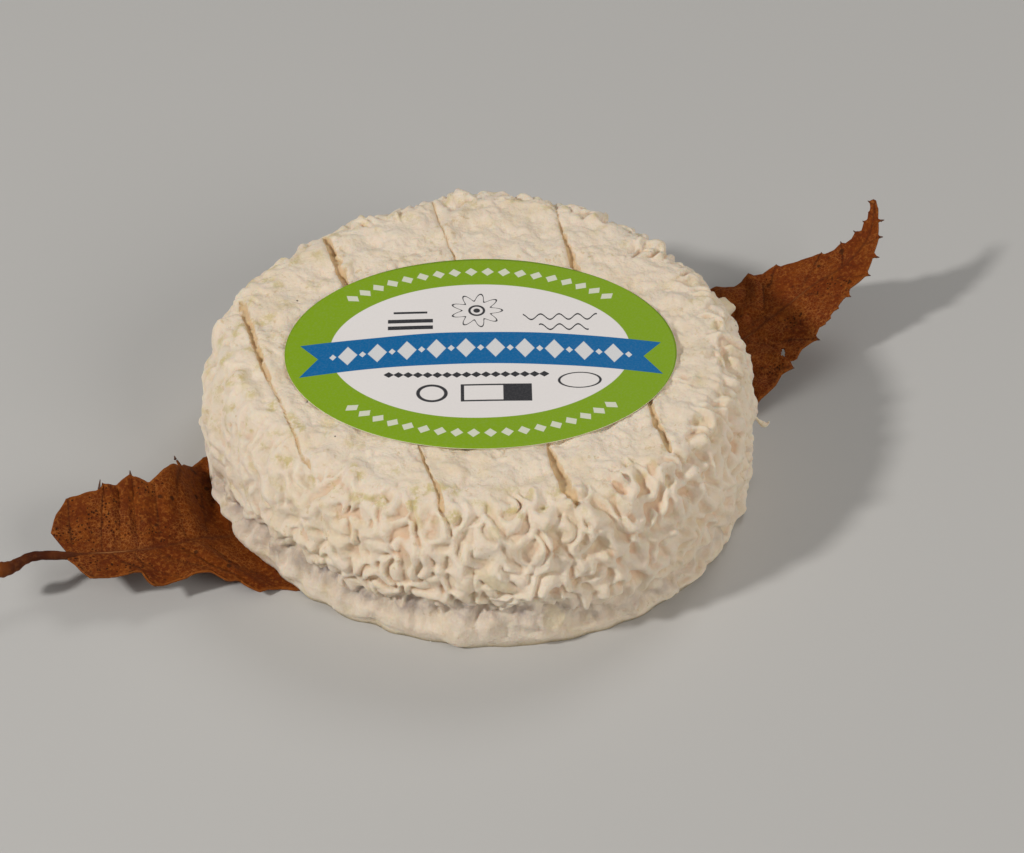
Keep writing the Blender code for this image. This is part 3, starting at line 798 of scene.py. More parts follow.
def cheeseMaterial():
    g = Graph("wrinkledRind")
    tint = rindColours
    noise = {name: g.noise(*values) for name, values in rindNoises.items()}
    ridge = g.attribute("ridge")
    height = g.math("ADD", ridge, g.ramp(noise["small"], 0.3, 0.7, -0.10, 0.10))
    valley = g.mix(g.ramp(noise["rosy"], 0.46, 0.60), tint["creamValley"], tint["rosyValley"])
    colour = g.mix(g.ramp(height, 0.0, 0.6), valley, tint["ridge"])
    colour = g.mix(g.ramp(noise["mottle"], 0.40, 0.66, 0.0, 0.4), colour, tint["pale"])
    colour = g.mix(g.ramp(noise["broad"], 0.50, 0.66, 0.0, 0.45), colour, tint["straw"])
    crisp = g.ramp(noise["olive"], 0.42, 0.58, 0.05, 0.95)
    colour = g.mix(g.math("MULTIPLY", g.attribute("olive"), crisp), colour, tint["olive"])
    fleckAreas = g.ramp(noise["fleckAreas"], 0.45, 0.62, 0.1, 0.6)
    flecks = g.math("MULTIPLY", g.ramp(noise["flecks"], 0.59, 0.67), fleckAreas)
    colour = g.mix(flecks, colour, tint["fleck"])
    # tan furrow floors, with painted shade darkening their left side
    colour = g.mix(g.attribute("bareAndShade"), colour, tint["bareAndShade"])
    # grey bloom and painted shade in the crease over the lip
    bloomAndShade = g.math("MULTIPLY", g.attribute("bloomAndShade"), g.ramp(noise["bloomAndShade"], 0.34, 0.66, 0.4, 1.0))
    colour = g.mix(g.math("MULTIPLY", bloomAndShade, 0.9), colour, tint["bloomAndShade"])
    colour = g.mix(g.math("MULTIPLY", g.attribute("flake"), 0.65), colour, tint["flake"])
    # darker brown along the bottom edge
    colour = g.mix(g.math("MULTIPLY", g.attribute("darkerFoot"), 0.75), colour, tint["darkerFoot"])
    colour = g.mix(g.ramp(noise["grain"], 0.35, 0.65, 0.0, 0.12), colour, tint["grain"])
    colour = g.mix(g.ramp(g.cells(130.0), 0.022, 0.030, 0.85, 0.0), colour, tint["speck"])
    keep = g.math("SUBTRACT", 1.0, g.math("MULTIPLY", g.attribute("bareAndShade"), 0.8))
    texture = g.math("ADD", noise["fluff"], g.math("MULTIPLY", noise["small"], 1.4))
    texture = g.math("ADD", g.math("MULTIPLY", noise["grain"], 0.6), texture)
    fineBump = g.bump(g.math("MULTIPLY", texture, keep), 0.45, 0.0004)
    rough = g.ramp(noise["grain"], 0.3, 0.7, 0.58, 0.78)
    return g.finish(colour, rough, fineBump, **rindShader)


def thinMesh(piece, triangles):
    # fewer triangles where the surface is plain
    piece.data.calc_loop_triangles()
    share = triangles / len(piece.data.loop_triangles)
    if share >= 1.0:
        return
    thin = piece.modifiers.new("thin", "DECIMATE")
    thin.ratio = share
    made = bpy.data.meshes.new_from_object(piece.evaluated_get(bpy.context.evaluated_depsgraph_get()))
    piece.modifiers.clear()
    old = piece.data
    piece.data = made
    made.name = piece.name
    bpy.data.meshes.remove(old)


def makeCrumb(material):
    # a crumb that hangs on the rind at the right
    steps = 40
    points = smoothLine(cheese["crumb"], steps)
    size = (20.0, 20.0)
    pattern = bandNoise(size, (2.2, 2.2), 0.5, 61, 128)
    points[:, 3] *= 1.0 + 0.16 * readField(pattern, size, np.arange(steps) * 0.4, np.zeros(steps))
    mesh = tubeMesh("crumb", points, 5)
    addAttribute(mesh, "ridge", np.full(len(mesh.vertices), 0.8))
    mesh.materials.append(material)
    addPiece("crumb", mesh, None)


def makeCheese():
    mesh = makeCheeseMesh()
    mesh.materials.append(cheeseMaterial())
    makeCrumb(mesh.materials[0])
    piece = addPiece("cheese_rind", mesh, "cheese")
    thinMesh(piece, cheese["triangles"])
    print("cheese:", len(piece.data.polygons), "faces")


# Leaf: the same curves as the solid, with its torn teeth, veins and puckers

leaf = {
    "midrib": [
        (-71.5, -32.7, 7.2), (-66.2, -31.3, 6.2), (-60.0, -29.5, 5.1), (-53.5, -26.5, 3.8),
        (-46.0, -21.6, 2.4), (-36.0, -16.2, 1.2), (0.0, 2.6, 0.0), (36.0, 21.4, 1.2), (46.5, 26.8, 3.4),
        (54.2, 31.4, 6.9), (61.6, 36.0, 10.6), (67.4, 38.6, 13.1), (70.9, 41.2, 15.7), (72.8, 44.0, 18.2),
        (73.6, 48.8, 21.0),
    ],
    # share of the length and width of the half blade there
    "leftWidth": [
        (0.0, 4.8), (0.003, 8.5), (0.0092, 12.0), (0.0245, 11.7), (0.0405, 11.6), (0.047, 12.3),
        (0.0491, 13.3), (0.053, 12.7), (0.0689, 13.2), (0.0836, 13.6), (0.0962, 14.3), (0.099, 13.5),
        (0.105, 13.2), (0.1191, 12.2), (0.1397, 13.2), (0.1605, 14.9), (0.1627, 17.3), (0.164, 15.7),
        (0.1686, 17.0), (0.1781, 17.9), (0.1837, 19.1), (0.1899, 20.1), (0.197, 21.0), (0.24, 21.2),
        (0.3, 21.4), (0.45, 21.6), (0.6, 20.0), (0.72, 17.4), (0.7963, 14.95), (0.8036, 14.8),
        (0.8085, 13.4), (0.8164, 11.75), (0.8282, 11.8), (0.8398, 12.3), (0.8412, 11.1), (0.8491, 9.8),
        (0.8578, 9.8), (0.8657, 9.7), (0.8668, 8.7), (0.8804, 7.15), (0.894, 6.25), (0.904, 5.9),
        (0.9055, 5.2), (0.922, 4.4), (0.936, 4.35), (0.9372, 3.55), (0.9479, 2.9), (0.96, 2.9),
        (0.9612, 2.2), (0.964, 1.7), (0.9762, 1.65), (0.9772, 1.15), (0.98, 0.95), (0.9866, 1.0),
        (0.9872, 0.7), (0.9925, 0.7), (0.9978, 1.1), (1.0, 0.3),
    ],
    "rightWidth": [
        (0.0, 1.2), (0.0071, 4.3), (0.015, 6.3), (0.0372, 6.1), (0.0526, 6.7), (0.0645, 6.7),
        (0.0658, 8.8), (0.0694, 9.6), (0.0764, 9.2), (0.094, 9.3), (0.1079, 9.6), (0.1196, 10.4),
        (0.1223, 12.0), (0.1252, 13.1), (0.1394, 13.3), (0.1427, 15.1), (0.1556, 16.4), (0.1851, 16.3),
        (0.1918, 16.8), (0.1994, 17.8), (0.25, 20.6), (0.45, 21.4), (0.6, 19.0), (0.72, 15.6),
        (0.75, 14.3), (0.7637, 13.6), (0.7719, 13.3), (0.7832, 11.9), (0.7891, 12.0), (0.7975, 12.1),
        (0.7993, 10.5), (0.8057, 11.1), (0.8175, 10.15), (0.8307, 10.3), (0.8362, 10.8), (0.8374, 9.6),
        (0.8466, 8.7), (0.8544, 9.05), (0.8556, 8.7), (0.8644, 8.7), (0.8656, 8.2), (0.8724, 7.9),
        (0.8819, 8.15), (0.8831, 7.7), (0.897, 6.8), (0.9012, 7.2), (0.9024, 6.2), (0.9055, 5.5),
        (0.9218, 5.1), (0.9248, 5.55), (0.926, 4.7), (0.939, 3.4), (0.942, 4.1), (0.9432, 3.0),
        (0.9577, 2.1), (0.9596, 2.4), (0.9608, 1.7), (0.9733, 1.05), (0.9758, 1.7), (0.977, 0.9),
        (0.9876, 0.8), (1.0, 0.2),
    ],
    # share of the length and height of the margin over the midrib there
    "leftRise": [
        (0.0, 1.2), (0.02, 3.2), (0.05, 4.9), (0.0674, 4.0), (0.0977, 5.7), (0.116, 4.6), (0.1595, 6.2),
        (0.17, 4.9), (0.2, 5.0), (0.24, 4.2), (0.3, 3.0), (0.45, 0.0), (0.6, 0.0), (0.72, -0.2),
        (0.78, -0.4), (0.82, -0.8), (0.86, -0.6), (0.9, 0.2), (0.94, -0.4), (0.97, -0.8), (1.0, 0.0),
    ],
    "rightRise": [
        (0.0, 0.0), (0.0151, 0.2), (0.0367, -0.4), (0.058, 1.3), (0.0655, 1.2), (0.0747, -0.7),
        (0.0927, 0.0), (0.112, 1.5), (0.1203, 1.2), (0.136, 0.0), (0.1472, -0.6), (0.1769, 0.3),
        (0.1949, 0.1), (0.25, 0.0), (0.6, 0.0), (0.72, -0.4), (0.78, -0.2), (0.82, 0.0), (0.9, 0.0),
        (0.94, 0.3), (0.97, 0.4), (1.0, 0.0),
    ],
    # where the teeth are; a side vein runs to each
    "leftTeeth": [
        -0.03, 0.012, 0.049, 0.073, 0.097, 0.128, 0.163, 0.202, 0.25, 0.3, 0.35, 0.4, 0.45, 0.5, 0.55,
        0.6, 0.65, 0.7, 0.75, 0.803, 0.84, 0.866, 0.904, 0.936, 0.96, 0.9762, 0.9866, 0.9978, 1.01,
    ],
    "rightTeeth": [
        -0.03, 0.02, 0.072, 0.1, 0.13, 0.155, 0.2, 0.25, 0.3, 0.35, 0.4, 0.45, 0.5, 0.55, 0.6, 0.65, 0.7,
        0.75, 0.7975, 0.8362, 0.8644, 0.9012, 0.9248, 0.942, 0.9596, 0.9758, 0.9876, 1.01,
    ],
    # awns: share, side and length
    "awns": [
        (0.0445, 1, 1.7), (0.0962, 1, 0.7), (0.1627, 1, 0.4), (0.8398, 1, 0.2), (0.8657, 1, 0.2),
        (0.904, 1, 0.25), (0.936, 1, 0.4), (0.96, 1, 0.5), (0.9762, 1, 0.4), (0.9978, 1, 0.3),
        (0.8362, -1, 0.3), (0.7975, -1, 0.2), (0.9012, -1, 0.2), (0.9248, -1, 0.3), (0.942, -1, 0.35),
        (0.9596, -1, 0.35), (0.9758, -1, 0.35),
    ],
    "hole": (0.7995, -0.78, 0.45, 0.9),
    "stalk": [
        (-69.2, -32.2, 6.35, 0.34), (-70.4, -32.75, 6.8, 0.55), (-71.6, -33.1, 7.2, 0.74),
        (-74.4, -33.4, 7.6, 0.8), (-76.4, -33.8, 7.9, 0.82), (-78.0, -34.4, 8.1, 0.85),
        (-79.3, -35.5, 8.2, 0.92), (-80.2, -36.4, 8.2, 1.02), (-81.2, -37.1, 8.2, 1.18),
        (-82.2, -37.4, 8.1, 1.36), (-83.2, -37.5, 8.0, 1.42), (-83.9, -37.5, 7.9, 1.1),
    ],
    "thickness": 0.34,
    # rows of faces along the blade, from one share of its length to another, and columns across it
    "rows": [(0.0, 0.21, 180), (0.21, 0.74, 60), (0.74, 1.0, 230)],
    "columns": 44,
    "baseLobe": 2.3,
    "flatBeside": (0.2, 0.8),
    "liftedBeside": (8.0, 4.5),
    "leastHeight": 0.45,
    "veinDepth": 0.16,
    "sideVeinWidth": 0.24,
    "puckerHeight": 0.34,
    "crinkleHeight": 0.10,
    "slowHeight": 0.30,
    # how far a side vein slants forward, and how far apart the veins are, at shares of the length
    "slantLeft": ((0.0, 0.05, 0.1, 0.16, 0.3), (0.1, 0.3, 0.45, 0.74, 0.85)),
    "slantRight": 0.85,
    "veinSpacing": ((0.0, 0.75, 0.9, 1.0), (0.035, 0.045, 0.028, 0.014)),
    "awnFoot": 0.35,
    "awnRadii": (0.27, 0.07),
    "stalkLift": 0.2,
    "stalkSteps": 60,
}

# patterns on the leaf: bump width, spread of widths, seed, columns
leafPatterns = {
    "crinkle": (4.0, 0.5, 72, 256),
    "slow": (15.0, 0.4, 73, 128),
    "stalk": (3.5, 0.5, 81, 128),
}


def onLeaf(name, x, y):
    wide, spread, seed, columns = leafPatterns[name]
    return readField(bandNoise(leafSize, (wide, wide), spread, seed, columns), leafSize, x, y)


def atShare(name, share):
    # a value of the leaf at shares of its length
    return np.interp(share, *np.array(leaf[name]).T)


def midribLine(share):
    fine = smoothLine(leaf["midrib"], 900)
    length = lengthAlong(fine)
    line = np.stack([np.interp(share * length[-1], length, fine[:, i]) for i in range(3)], 1)
    heading = np.gradient(fine, axis=0)
    heading = np.stack([np.interp(share * length[-1], length, heading[:, i]) for i in range(3)], 1)
    heading[:, 2] = 0.0
    heading /= np.linalg.norm(heading, axis=1)[:, None]
    return line, heading, length[-1]


def leafCovers(x, y):
    # 1 where the leaf lies under a point
    share = np.linspace(0.0, 1.0, 240)
    line, heading, _ = midribLine(share)
    left, right = atShare("leftWidth", share), atShare("rightWidth", share)
    covered = np.zeros_like(x)
    for part in np.array_split(np.arange(len(x)), 40):
        dx = x[part, None] - line[None, :, 0]
        dy = y[part, None] - line[None, :, 1]
        closest = (dx * dx + dy * dy).argmin(axis=1)
        row = np.arange(len(part))
        side = heading[closest, 0] * dy[row, closest] - heading[closest, 1] * dx[row, closest]
        width = np.where(side > 0, left[closest], right[closest]) + 1.0
        covered[part] = 1.0 - smoothStep(width, width + 2.0, np.abs(side))
    return covered


def bladePoints(s, across):
    # points of the blade at shares s of its length and across from -1, the right margin, to 1, the left one
    line, heading, length = midribLine(s)
    outer, isLeft = np.abs(across), across > 0
    width = np.where(isLeft, atShare("leftWidth", s), atShare("rightWidth", s))
    rise = np.zeros_like(s)
    for near in (-0.006, -0.003, 0.0, 0.003, 0.006):
        rise += np.where(isLeft, atShare("leftRise", s + near), atShare("rightRise", s + near)) / 5
    out = across * width
    lobeEnd = np.where(isLeft, 0.009, 0.004)
    ahead = -leaf["baseLobe"] * outer * np.where(isLeft, 1.0, 0.2) * (1.0 - np.clip(s / lobeEnd, 0.0, 1.0))
    x = line[:, 0] - out * heading[:, 1] + ahead * heading[:, 0]
    y = line[:, 1] + out * heading[:, 0] + ahead * heading[:, 1]
    beside = np.hypot(x, y) - cheese["radius"] * roundShare(np.arctan2(y, x))
    leftHalf = s < 0.5
    lifted = smoothStep(
        np.where(leftHalf, *leaf["flatBeside"]), np.where(leftHalf, *leaf["liftedBeside"]), beside
    )

    # side veins run from the midrib forward to each tooth, and the blade puckers between them
    slant = np.where(isLeft, np.interp(s, *leaf["slantLeft"]), leaf["slantRight"])
    lag = slant * width / length * (1.0 - outer) ** 0.85
    leftTooth = np.interp(s + lag, leaf["leftTeeth"], np.arange(len(leaf["leftTeeth"])))
    rightTooth = np.interp(s + lag, leaf["rightTeeth"], np.arange(len(leaf["rightTeeth"])))
    tooth = np.where(isLeft, leftTooth, rightTooth)
    phase = (tooth + 0.5) % 1.0 - 0.5
    spacing = length * np.interp(s, *leaf["veinSpacing"])
    bend = 0.2 * np.sin(7.0 * outer + 3.0 * np.floor(tooth + 0.5))
    fromVein = np.abs(phase) * spacing + bend * 0.3
    sideVein = hump(fromVein, 0.0, leaf["sideVeinWidth"]) * smoothStep(0.02, 0.1, outer)
    midVein = hump(out, 0.0, 0.5 - 0.25 * s)
    room = np.minimum(width / 14.0, 1.0) ** 2
    pucker = np.cos(2 * math.pi * phase) * smoothStep(0.0, 0.35, outer)
    pucker = pucker * (1 - 0.75 * smoothStep(0.75, 1.0, outer))
    height = line[:, 2] + rise * outer**1.4 - leaf["puckerHeight"] * room * pucker
    height += leaf["crinkleHeight"] * onLeaf("crinkle", x, y) * room
    height += leaf["slowHeight"] * onLeaf("slow", x, y) * outer * (1 - outer) * 2.0 * room
    height -= leaf["veinDepth"] * (0.6 * sideVein + midVein)
    height = lifted * np.maximum(height, leaf["leastHeight"])
    return np.stack([x, y, height], 1), sideVein, midVein, heading


def makeLeafMesh():
    share = np.concatenate([np.linspace(a, b, count, endpoint=b == 1.0) for a, b, count in leaf["rows"]])
    bm = bmesh.new()
    bmesh.ops.create_grid(bm, x_segments=len(share) - 1, y_segments=leaf["columns"], size=0.5)
    mesh = bpy.data.meshes.new("leaf_blade")
    bm.to_mesh(mesh)
    bm.free()
    flat = getPoints(mesh) * mm
    s = share[np.rint((flat[:, 0] + 0.5) * (len(share) - 1)).astype(int)]
    across = (flat[:, 1] + 0.5) * 2.0 - 1.0
    points, sideVein, midVein, _ = bladePoints(s, across)
    setPoints(mesh, points)
    addAttribute(mesh, "sideVein", sideVein)
    addAttribute(mesh, "midVein", midVein)
    addAttribute(mesh, "outer", np.abs(across))
    addAttribute(mesh, "along", s)

    # the small hole near the cheese
    holeS, holeAcross, holeLong, holeWide = leaf["hole"]
    centre = bladePoints(np.array([holeS]), np.array([holeAcross]))[0][0]
    bm = bmesh.new()
    bm.from_mesh(mesh)
    gone = []
    for face in bm.faces:
        middle = face.calc_center_median() / mm
        if math.hypot((middle.x - centre[0]) / holeLong, (middle.y - centre[1]) / holeWide) < 1.0:
            gone.append(face)
    bmesh.ops.delete(bm, geom=gone, context="FACES")
    bm.to_mesh(mesh)
    bm.free()
    return mesh


def makeAwnMesh():
    # thin bristles at the tips of the teeth
    bm = bmesh.new()
    for share, side, length in leaf["awns"]:
        points, _, _, heading = bladePoints(np.array([share, share]), np.array([0.9 * side, 1.0 * side]))
        outward = Vector((-heading[0][1], heading[0][0], 0.0)) * side
        aim = (outward + 0.30 * Vector(heading[0]) + Vector((0.0, 0.0, 0.25))).normalized()
        whole = length + leaf["awnFoot"]
        onTop = Vector((0.0, 0.0, 0.5 * leaf["thickness"] * mm))
        foot = (Vector(points[1]) - leaf["awnFoot"] * aim) * mm + onTop
        turned = aim.to_track_quat("Z", "Y").to_matrix().to_4x4()
        middle = foot + aim * (0.5 * whole * mm)
        thick, thin = leaf["awnRadii"]
        bmesh.ops.create_cone(
            bm, cap_ends=True, segments=8, radius1=thick * mm, radius2=thin * mm, depth=whole * mm,
            matrix=Matrix.Translation(middle) @ turned,
        )
    mesh = bpy.data.meshes.new("leaf_awns")
    bm.to_mesh(mesh)
    bm.free()
    return mesh


leafColours = {
    "darkPatch": (0.120, 0.020, 0.0008),
    "lightPatch": (0.195, 0.041, 0.002),
    "tip": (0.215, 0.036, 0.003),
    "mottle": (0.25, 0.063, 0.006),
    "lightGrain": (0.33, 0.108, 0.017),
    "darkGrain": (0.085, 0.016, 0.001),
    "net": (0.42, 0.16, 0.04),
    "speck": (0.016, 0.005, 0.001),
    "spot": (0.035, 0.010, 0.002),
    "sideVein": (0.050, 0.011, 0.002),
    "midrib": (0.085, 0.018, 0.004),
    # pale midrib colour, also a painted highlight on its crest
    "paleMidribAndHighlight": (0.40, 0.18, 0.06),
    "margin": (0.33, 0.10, 0.015),
}

stalkColours = {
    "dark": (0.056, 0.010, 0.0015),
    "light": (0.135, 0.034, 0.006),
    "fibre": (0.23, 0.085, 0.025),
    "knob": (0.21, 0.058, 0.008),
    "darkAwn": (0.030, 0.008, 0.002),
    "lightAwn": (0.14, 0.045, 0.012),
}


def leafMaterial():
    g = Graph("dryLeaf")
    tint = leafColours
    broad = g.noise(45.0, 3.0)
    small = g.noise(330.0, 4.0, 0.6)
    grain = g.noise(1400.0, 3.0, 0.7)
    net = g.cells(1500.0, "DISTANCE_TO_EDGE")
    along, outer, rib = g.attribute("along"), g.attribute("outer"), g.attribute("midVein")
    colour = g.mix(g.ramp(broad, 0.35, 0.68), tint["darkPatch"], tint["lightPatch"])
    colour = g.mix(g.ramp(along, 0.5, 0.95, 0.0, 0.35), colour, tint["tip"])
    colour = g.mix(g.ramp(small, 0.42, 0.72, 0.0, 0.6), colour, tint["mottle"])
    colour = g.mix(g.ramp(grain, 0.50, 0.66, 0.0, 0.6), colour, tint["lightGrain"])
    colour = g.mix(g.ramp(grain, 0.48, 0.34, 0.0, 0.55), colour, tint["darkGrain"])
    inNet = g.math("MULTIPLY", g.ramp(net, 0.0, 0.09, 0.5, 0.0), g.ramp(g.noise(120.0, 2.0), 0.40, 0.60))
    colour = g.mix(inNet, colour, tint["net"])

    # specks crowd by the stalk, larger spots lie anywhere
    byStalk = g.math("MULTIPLY", g.ramp(along, 0.05, 0.13, 1.0, 0.0), g.ramp(outer, 0.08, 0.3))
    crowd = g.math("ADD", g.ramp(g.noise(110.0, 2.0), 0.54, 0.66), byStalk)
    dots = g.math("MULTIPLY", g.ramp(g.cells(1500.0), 0.22, 0.34, 1.0, 0.0), g.ramp(small, 0.44, 0.54))
    specks = g.math("MULTIPLY", dots, g.math("MINIMUM", crowd, 1.0))
    colour = g.mix(g.math("MULTIPLY", specks, 0.9), colour, tint["speck"])
    spotAreas = g.ramp(g.noise(190.0, 2.0), 0.52, 0.60)
    spots = g.math("MULTIPLY", g.ramp(g.cells(420.0), 0.17, 0.25, 1.0, 0.0), spotAreas)
    colour = g.mix(g.math("MULTIPLY", spots, 0.8), colour, tint["spot"])

    # veins, the midrib pale in places, partly its own colour and partly a painted highlight on its crest, and
    # the worn margin
    worn = g.ramp(g.noise(160.0, 2.0), 0.38, 0.58, 0.15, 0.85)
    colour = g.mix(g.math("MULTIPLY", g.attribute("sideVein"), worn), colour, tint["sideVein"])
    colour = g.mix(g.math("MULTIPLY", rib, 0.75), colour, tint["midrib"])
    # pale patches on the midrib's crest: its own paler colour and a painted highlight
    pale = g.math("MULTIPLY", g.ramp(rib, 0.72, 0.97), g.ramp(g.noise(95.0, 2.0), 0.44, 0.60, 0.0, 0.65))
    pale = g.math("MULTIPLY", pale, g.ramp(along, 0.80, 0.92, 1.0, 0.1))
    colour = g.mix(pale, colour, tint["paleMidribAndHighlight"])
    colour = g.mix(g.math("MULTIPLY", g.ramp(outer, 0.955, 1.0), 0.45), colour, tint["margin"])

    texture = g.math("ADD", small, g.math("MULTIPLY", grain, 0.5))
    relief = g.math("ADD", g.math("MULTIPLY", g.ramp(net, 0.0, 0.14), 0.4), texture)
    return g.finish(
        colour, g.ramp(small, 0.3, 0.7, 0.62, 0.8), g.bump(relief, 0.55, 0.00022), Specular_IOR_Level=0.12,
    )


def stalkMaterial():
    g = Graph("leafStalk")
    fibres = g.noise(900.0, 3.0, 0.6)
    patches = g.noise(150.0, 3.0)
    place = g.tree.nodes.new("ShaderNodeSeparateXYZ")
    g.feed(place.inputs[0], g.place)
    colour = g.mix(g.ramp(patches, 0.35, 0.65), stalkColours["dark"], stalkColours["light"])
    colour = g.mix(g.ramp(fibres, 0.5, 0.75, 0.0, 0.35), colour, stalkColours["fibre"])
    colour = g.mix(g.ramp(place.outputs[0], -0.0835, -0.0800, 0.6, 0.0), colour, stalkColours["knob"])
    return g.finish(
        colour, g.ramp(fibres, 0.3, 0.7, 0.5, 0.65), g.bump(fibres, 0.4, 0.0002), Specular_IOR_Level=0.12,
    )


def awnMaterial():
    g = Graph("leafAwns")
    fibres = g.noise(1200.0, 2.0)
    return g.finish(g.mix(fibres, stalkColours["darkAwn"], stalkColours["lightAwn"]), 0.55, None)


def tubeMesh(name, points, sides):
    # a tapered tube, closed at both ends: x, y, z and radius at each point
    curve = bpy.data.curves.new(name, "CURVE")
    curve.dimensions = "3D"
    curve.bevel_depth = mm
    curve.bevel_resolution = sides
    curve.use_fill_caps = True
    spline = curve.splines.new("POLY")
    spline.points.add(len(points) - 1)
    for target, (x, y, z, radius) in zip(spline.points, points):
        target.co = (x * mm, y * mm, z * mm, 1.0)
        target.radius = radius
    holder = bpy.data.objects.new(name, curve)
    bpy.context.scene.collection.objects.link(holder)
    mesh = bpy.data.meshes.new_from_object(holder.evaluated_get(bpy.context.evaluated_depsgraph_get()))
    bpy.data.objects.remove(holder)
    bm = bmesh.new()
    bm.from_mesh(mesh)
    bmesh.ops.remove_doubles(bm, verts=bm.verts, dist=weldWithin)
    bmesh.ops.recalc_face_normals(bm, faces=bm.faces)
    bm.to_mesh(mesh)
    bm.free()
    return mesh


def makeLeaf():
    mesh = makeLeafMesh()
    mesh.materials.append(leafMaterial())
    blade = addPiece("leaf_blade", mesh, "chestnut_leaf")
    solid = blade.modifiers.new("thickness", "SOLIDIFY")
    solid.thickness = leaf["thickness"] * mm
    solid.offset = 1.0
    steps = leaf["stalkSteps"]
    points = smoothLine(leaf["stalk"], steps)
    points[:, 2] += leaf["stalkLift"]
    points[:, 3] *= 1.0 + 0.05 * onLeaf("stalk", np.arange(steps) * 0.5, np.zeros(steps))
    stalk = tubeMesh("leaf_stalk", points, 6)
    stalk.materials.append(stalkMaterial())
    addPiece("leaf_stalk", stalk, "chestnut_leaf")
    awns = makeAwnMesh()
    awns.materials.append(awnMaterial())
    addPiece("leaf_awns", awns, "chestnut_leaf")
    print("leaf:", len(mesh.polygons), "faces a side")


# Label: an oval of coated paper, printed in plain fields and generic shapes

label = {
    "thickness": 0.14,
    "grid": (120, 90),
    # a slow wave in the paper: width, spread, seed and height, and how far its edge lifts
    "wave": (24.0, 0.4, 91, 0.04),
    "edgeLift": 0.05,
    "ringColour": (0.235, 0.40, 0.008),
    "grainColour": (0.72, 0.74, 0.60),
    "fieldColour": (0.86, 0.825, 0.81),
    "ribbonColour": (0.0008, 0.14, 0.38),
    "lozengeColour": (0.74, 0.75, 0.76),
    "inkColour": (0.035, 0.035, 0.04),
    "paperColour": (0.84, 0.82, 0.62),
    "fibreColour": (0.5, 0.5, 0.5),
    "fieldSize": (53.0, 36.0),
    "fieldCentre": (-0.1, 0.4),
    "ribbonHalf": 31.8,
    "ribbonHeight": 8.4,
    "ribbonArch": 3.4,
    "ribbonNotch": 3.2,
    "lozengePitch": 5.2,
    "lozengeRow": 26.7,
    "flower": (-0.6, 11.2),
    # bars and wavy lines: middle, half the length and half the height
    "bars": [(-12.4, 8.4, 4.0, 0.5), (-12.4, 10.7, 3.0, 0.28), (-12.4, 6.6, 4.0, 0.5)],
    "waves": [(14.2, 9.2, 6.6, 0.2), (14.8, 6.4, 4.4, 0.2)],
    "frame": [(2.6, -10.9, 6.2, 2.3), (0.4, -10.9, 3.4, 1.9)],
    # open ovals: middle, half the length and width, size of the line's middle, half the line, softness
    "ovals": [(-8.6, -10.9, 2.7, 2.3, 0.9, 0.12, 0.03), (17.2, -7.9, 3.8, 2.1, 0.95, 0.06, 0.02)],
}


def makeLabelMesh():
    bm = bmesh.new()
    bmesh.ops.create_grid(bm, x_segments=label["grid"][0], y_segments=label["grid"][1], size=1.0)
    mesh = bpy.data.meshes.new("paper_label")
    bm.to_mesh(mesh)
    bm.free()

    # the square grid is drawn in to an oval
    u, v, _ = (getPoints(mesh) * mm).T
    x = u * np.sqrt(1.0 - 0.5 * v * v) * labelPlace["length"] / 2
    y = v * np.sqrt(1.0 - 0.5 * u * u) * labelPlace["width"] / 2
    wide, spread, seed, height = label["wave"]
    wave = readField(bandNoise(topSize, (wide, wide), spread, seed, 128), topSize, x, y)
    edge = smoothStep(0.75, 1.0, np.hypot(x / labelPlace["length"], y / labelPlace["width"]) * 2)
    z = labelPlace["underside"] + height * wave + label["edgeLift"] * edge
    turned = Matrix.Rotation(labelPlace["turn"], 2)
    cx, cy = labelPlace["centre"]
    placedX = turned[0][0] * x + turned[0][1] * y + cx
    placedY = turned[1][0] * x + turned[1][1] * y + cy
    setPoints(mesh, np.stack([placedX, placedY, z], 1))
    return mesh


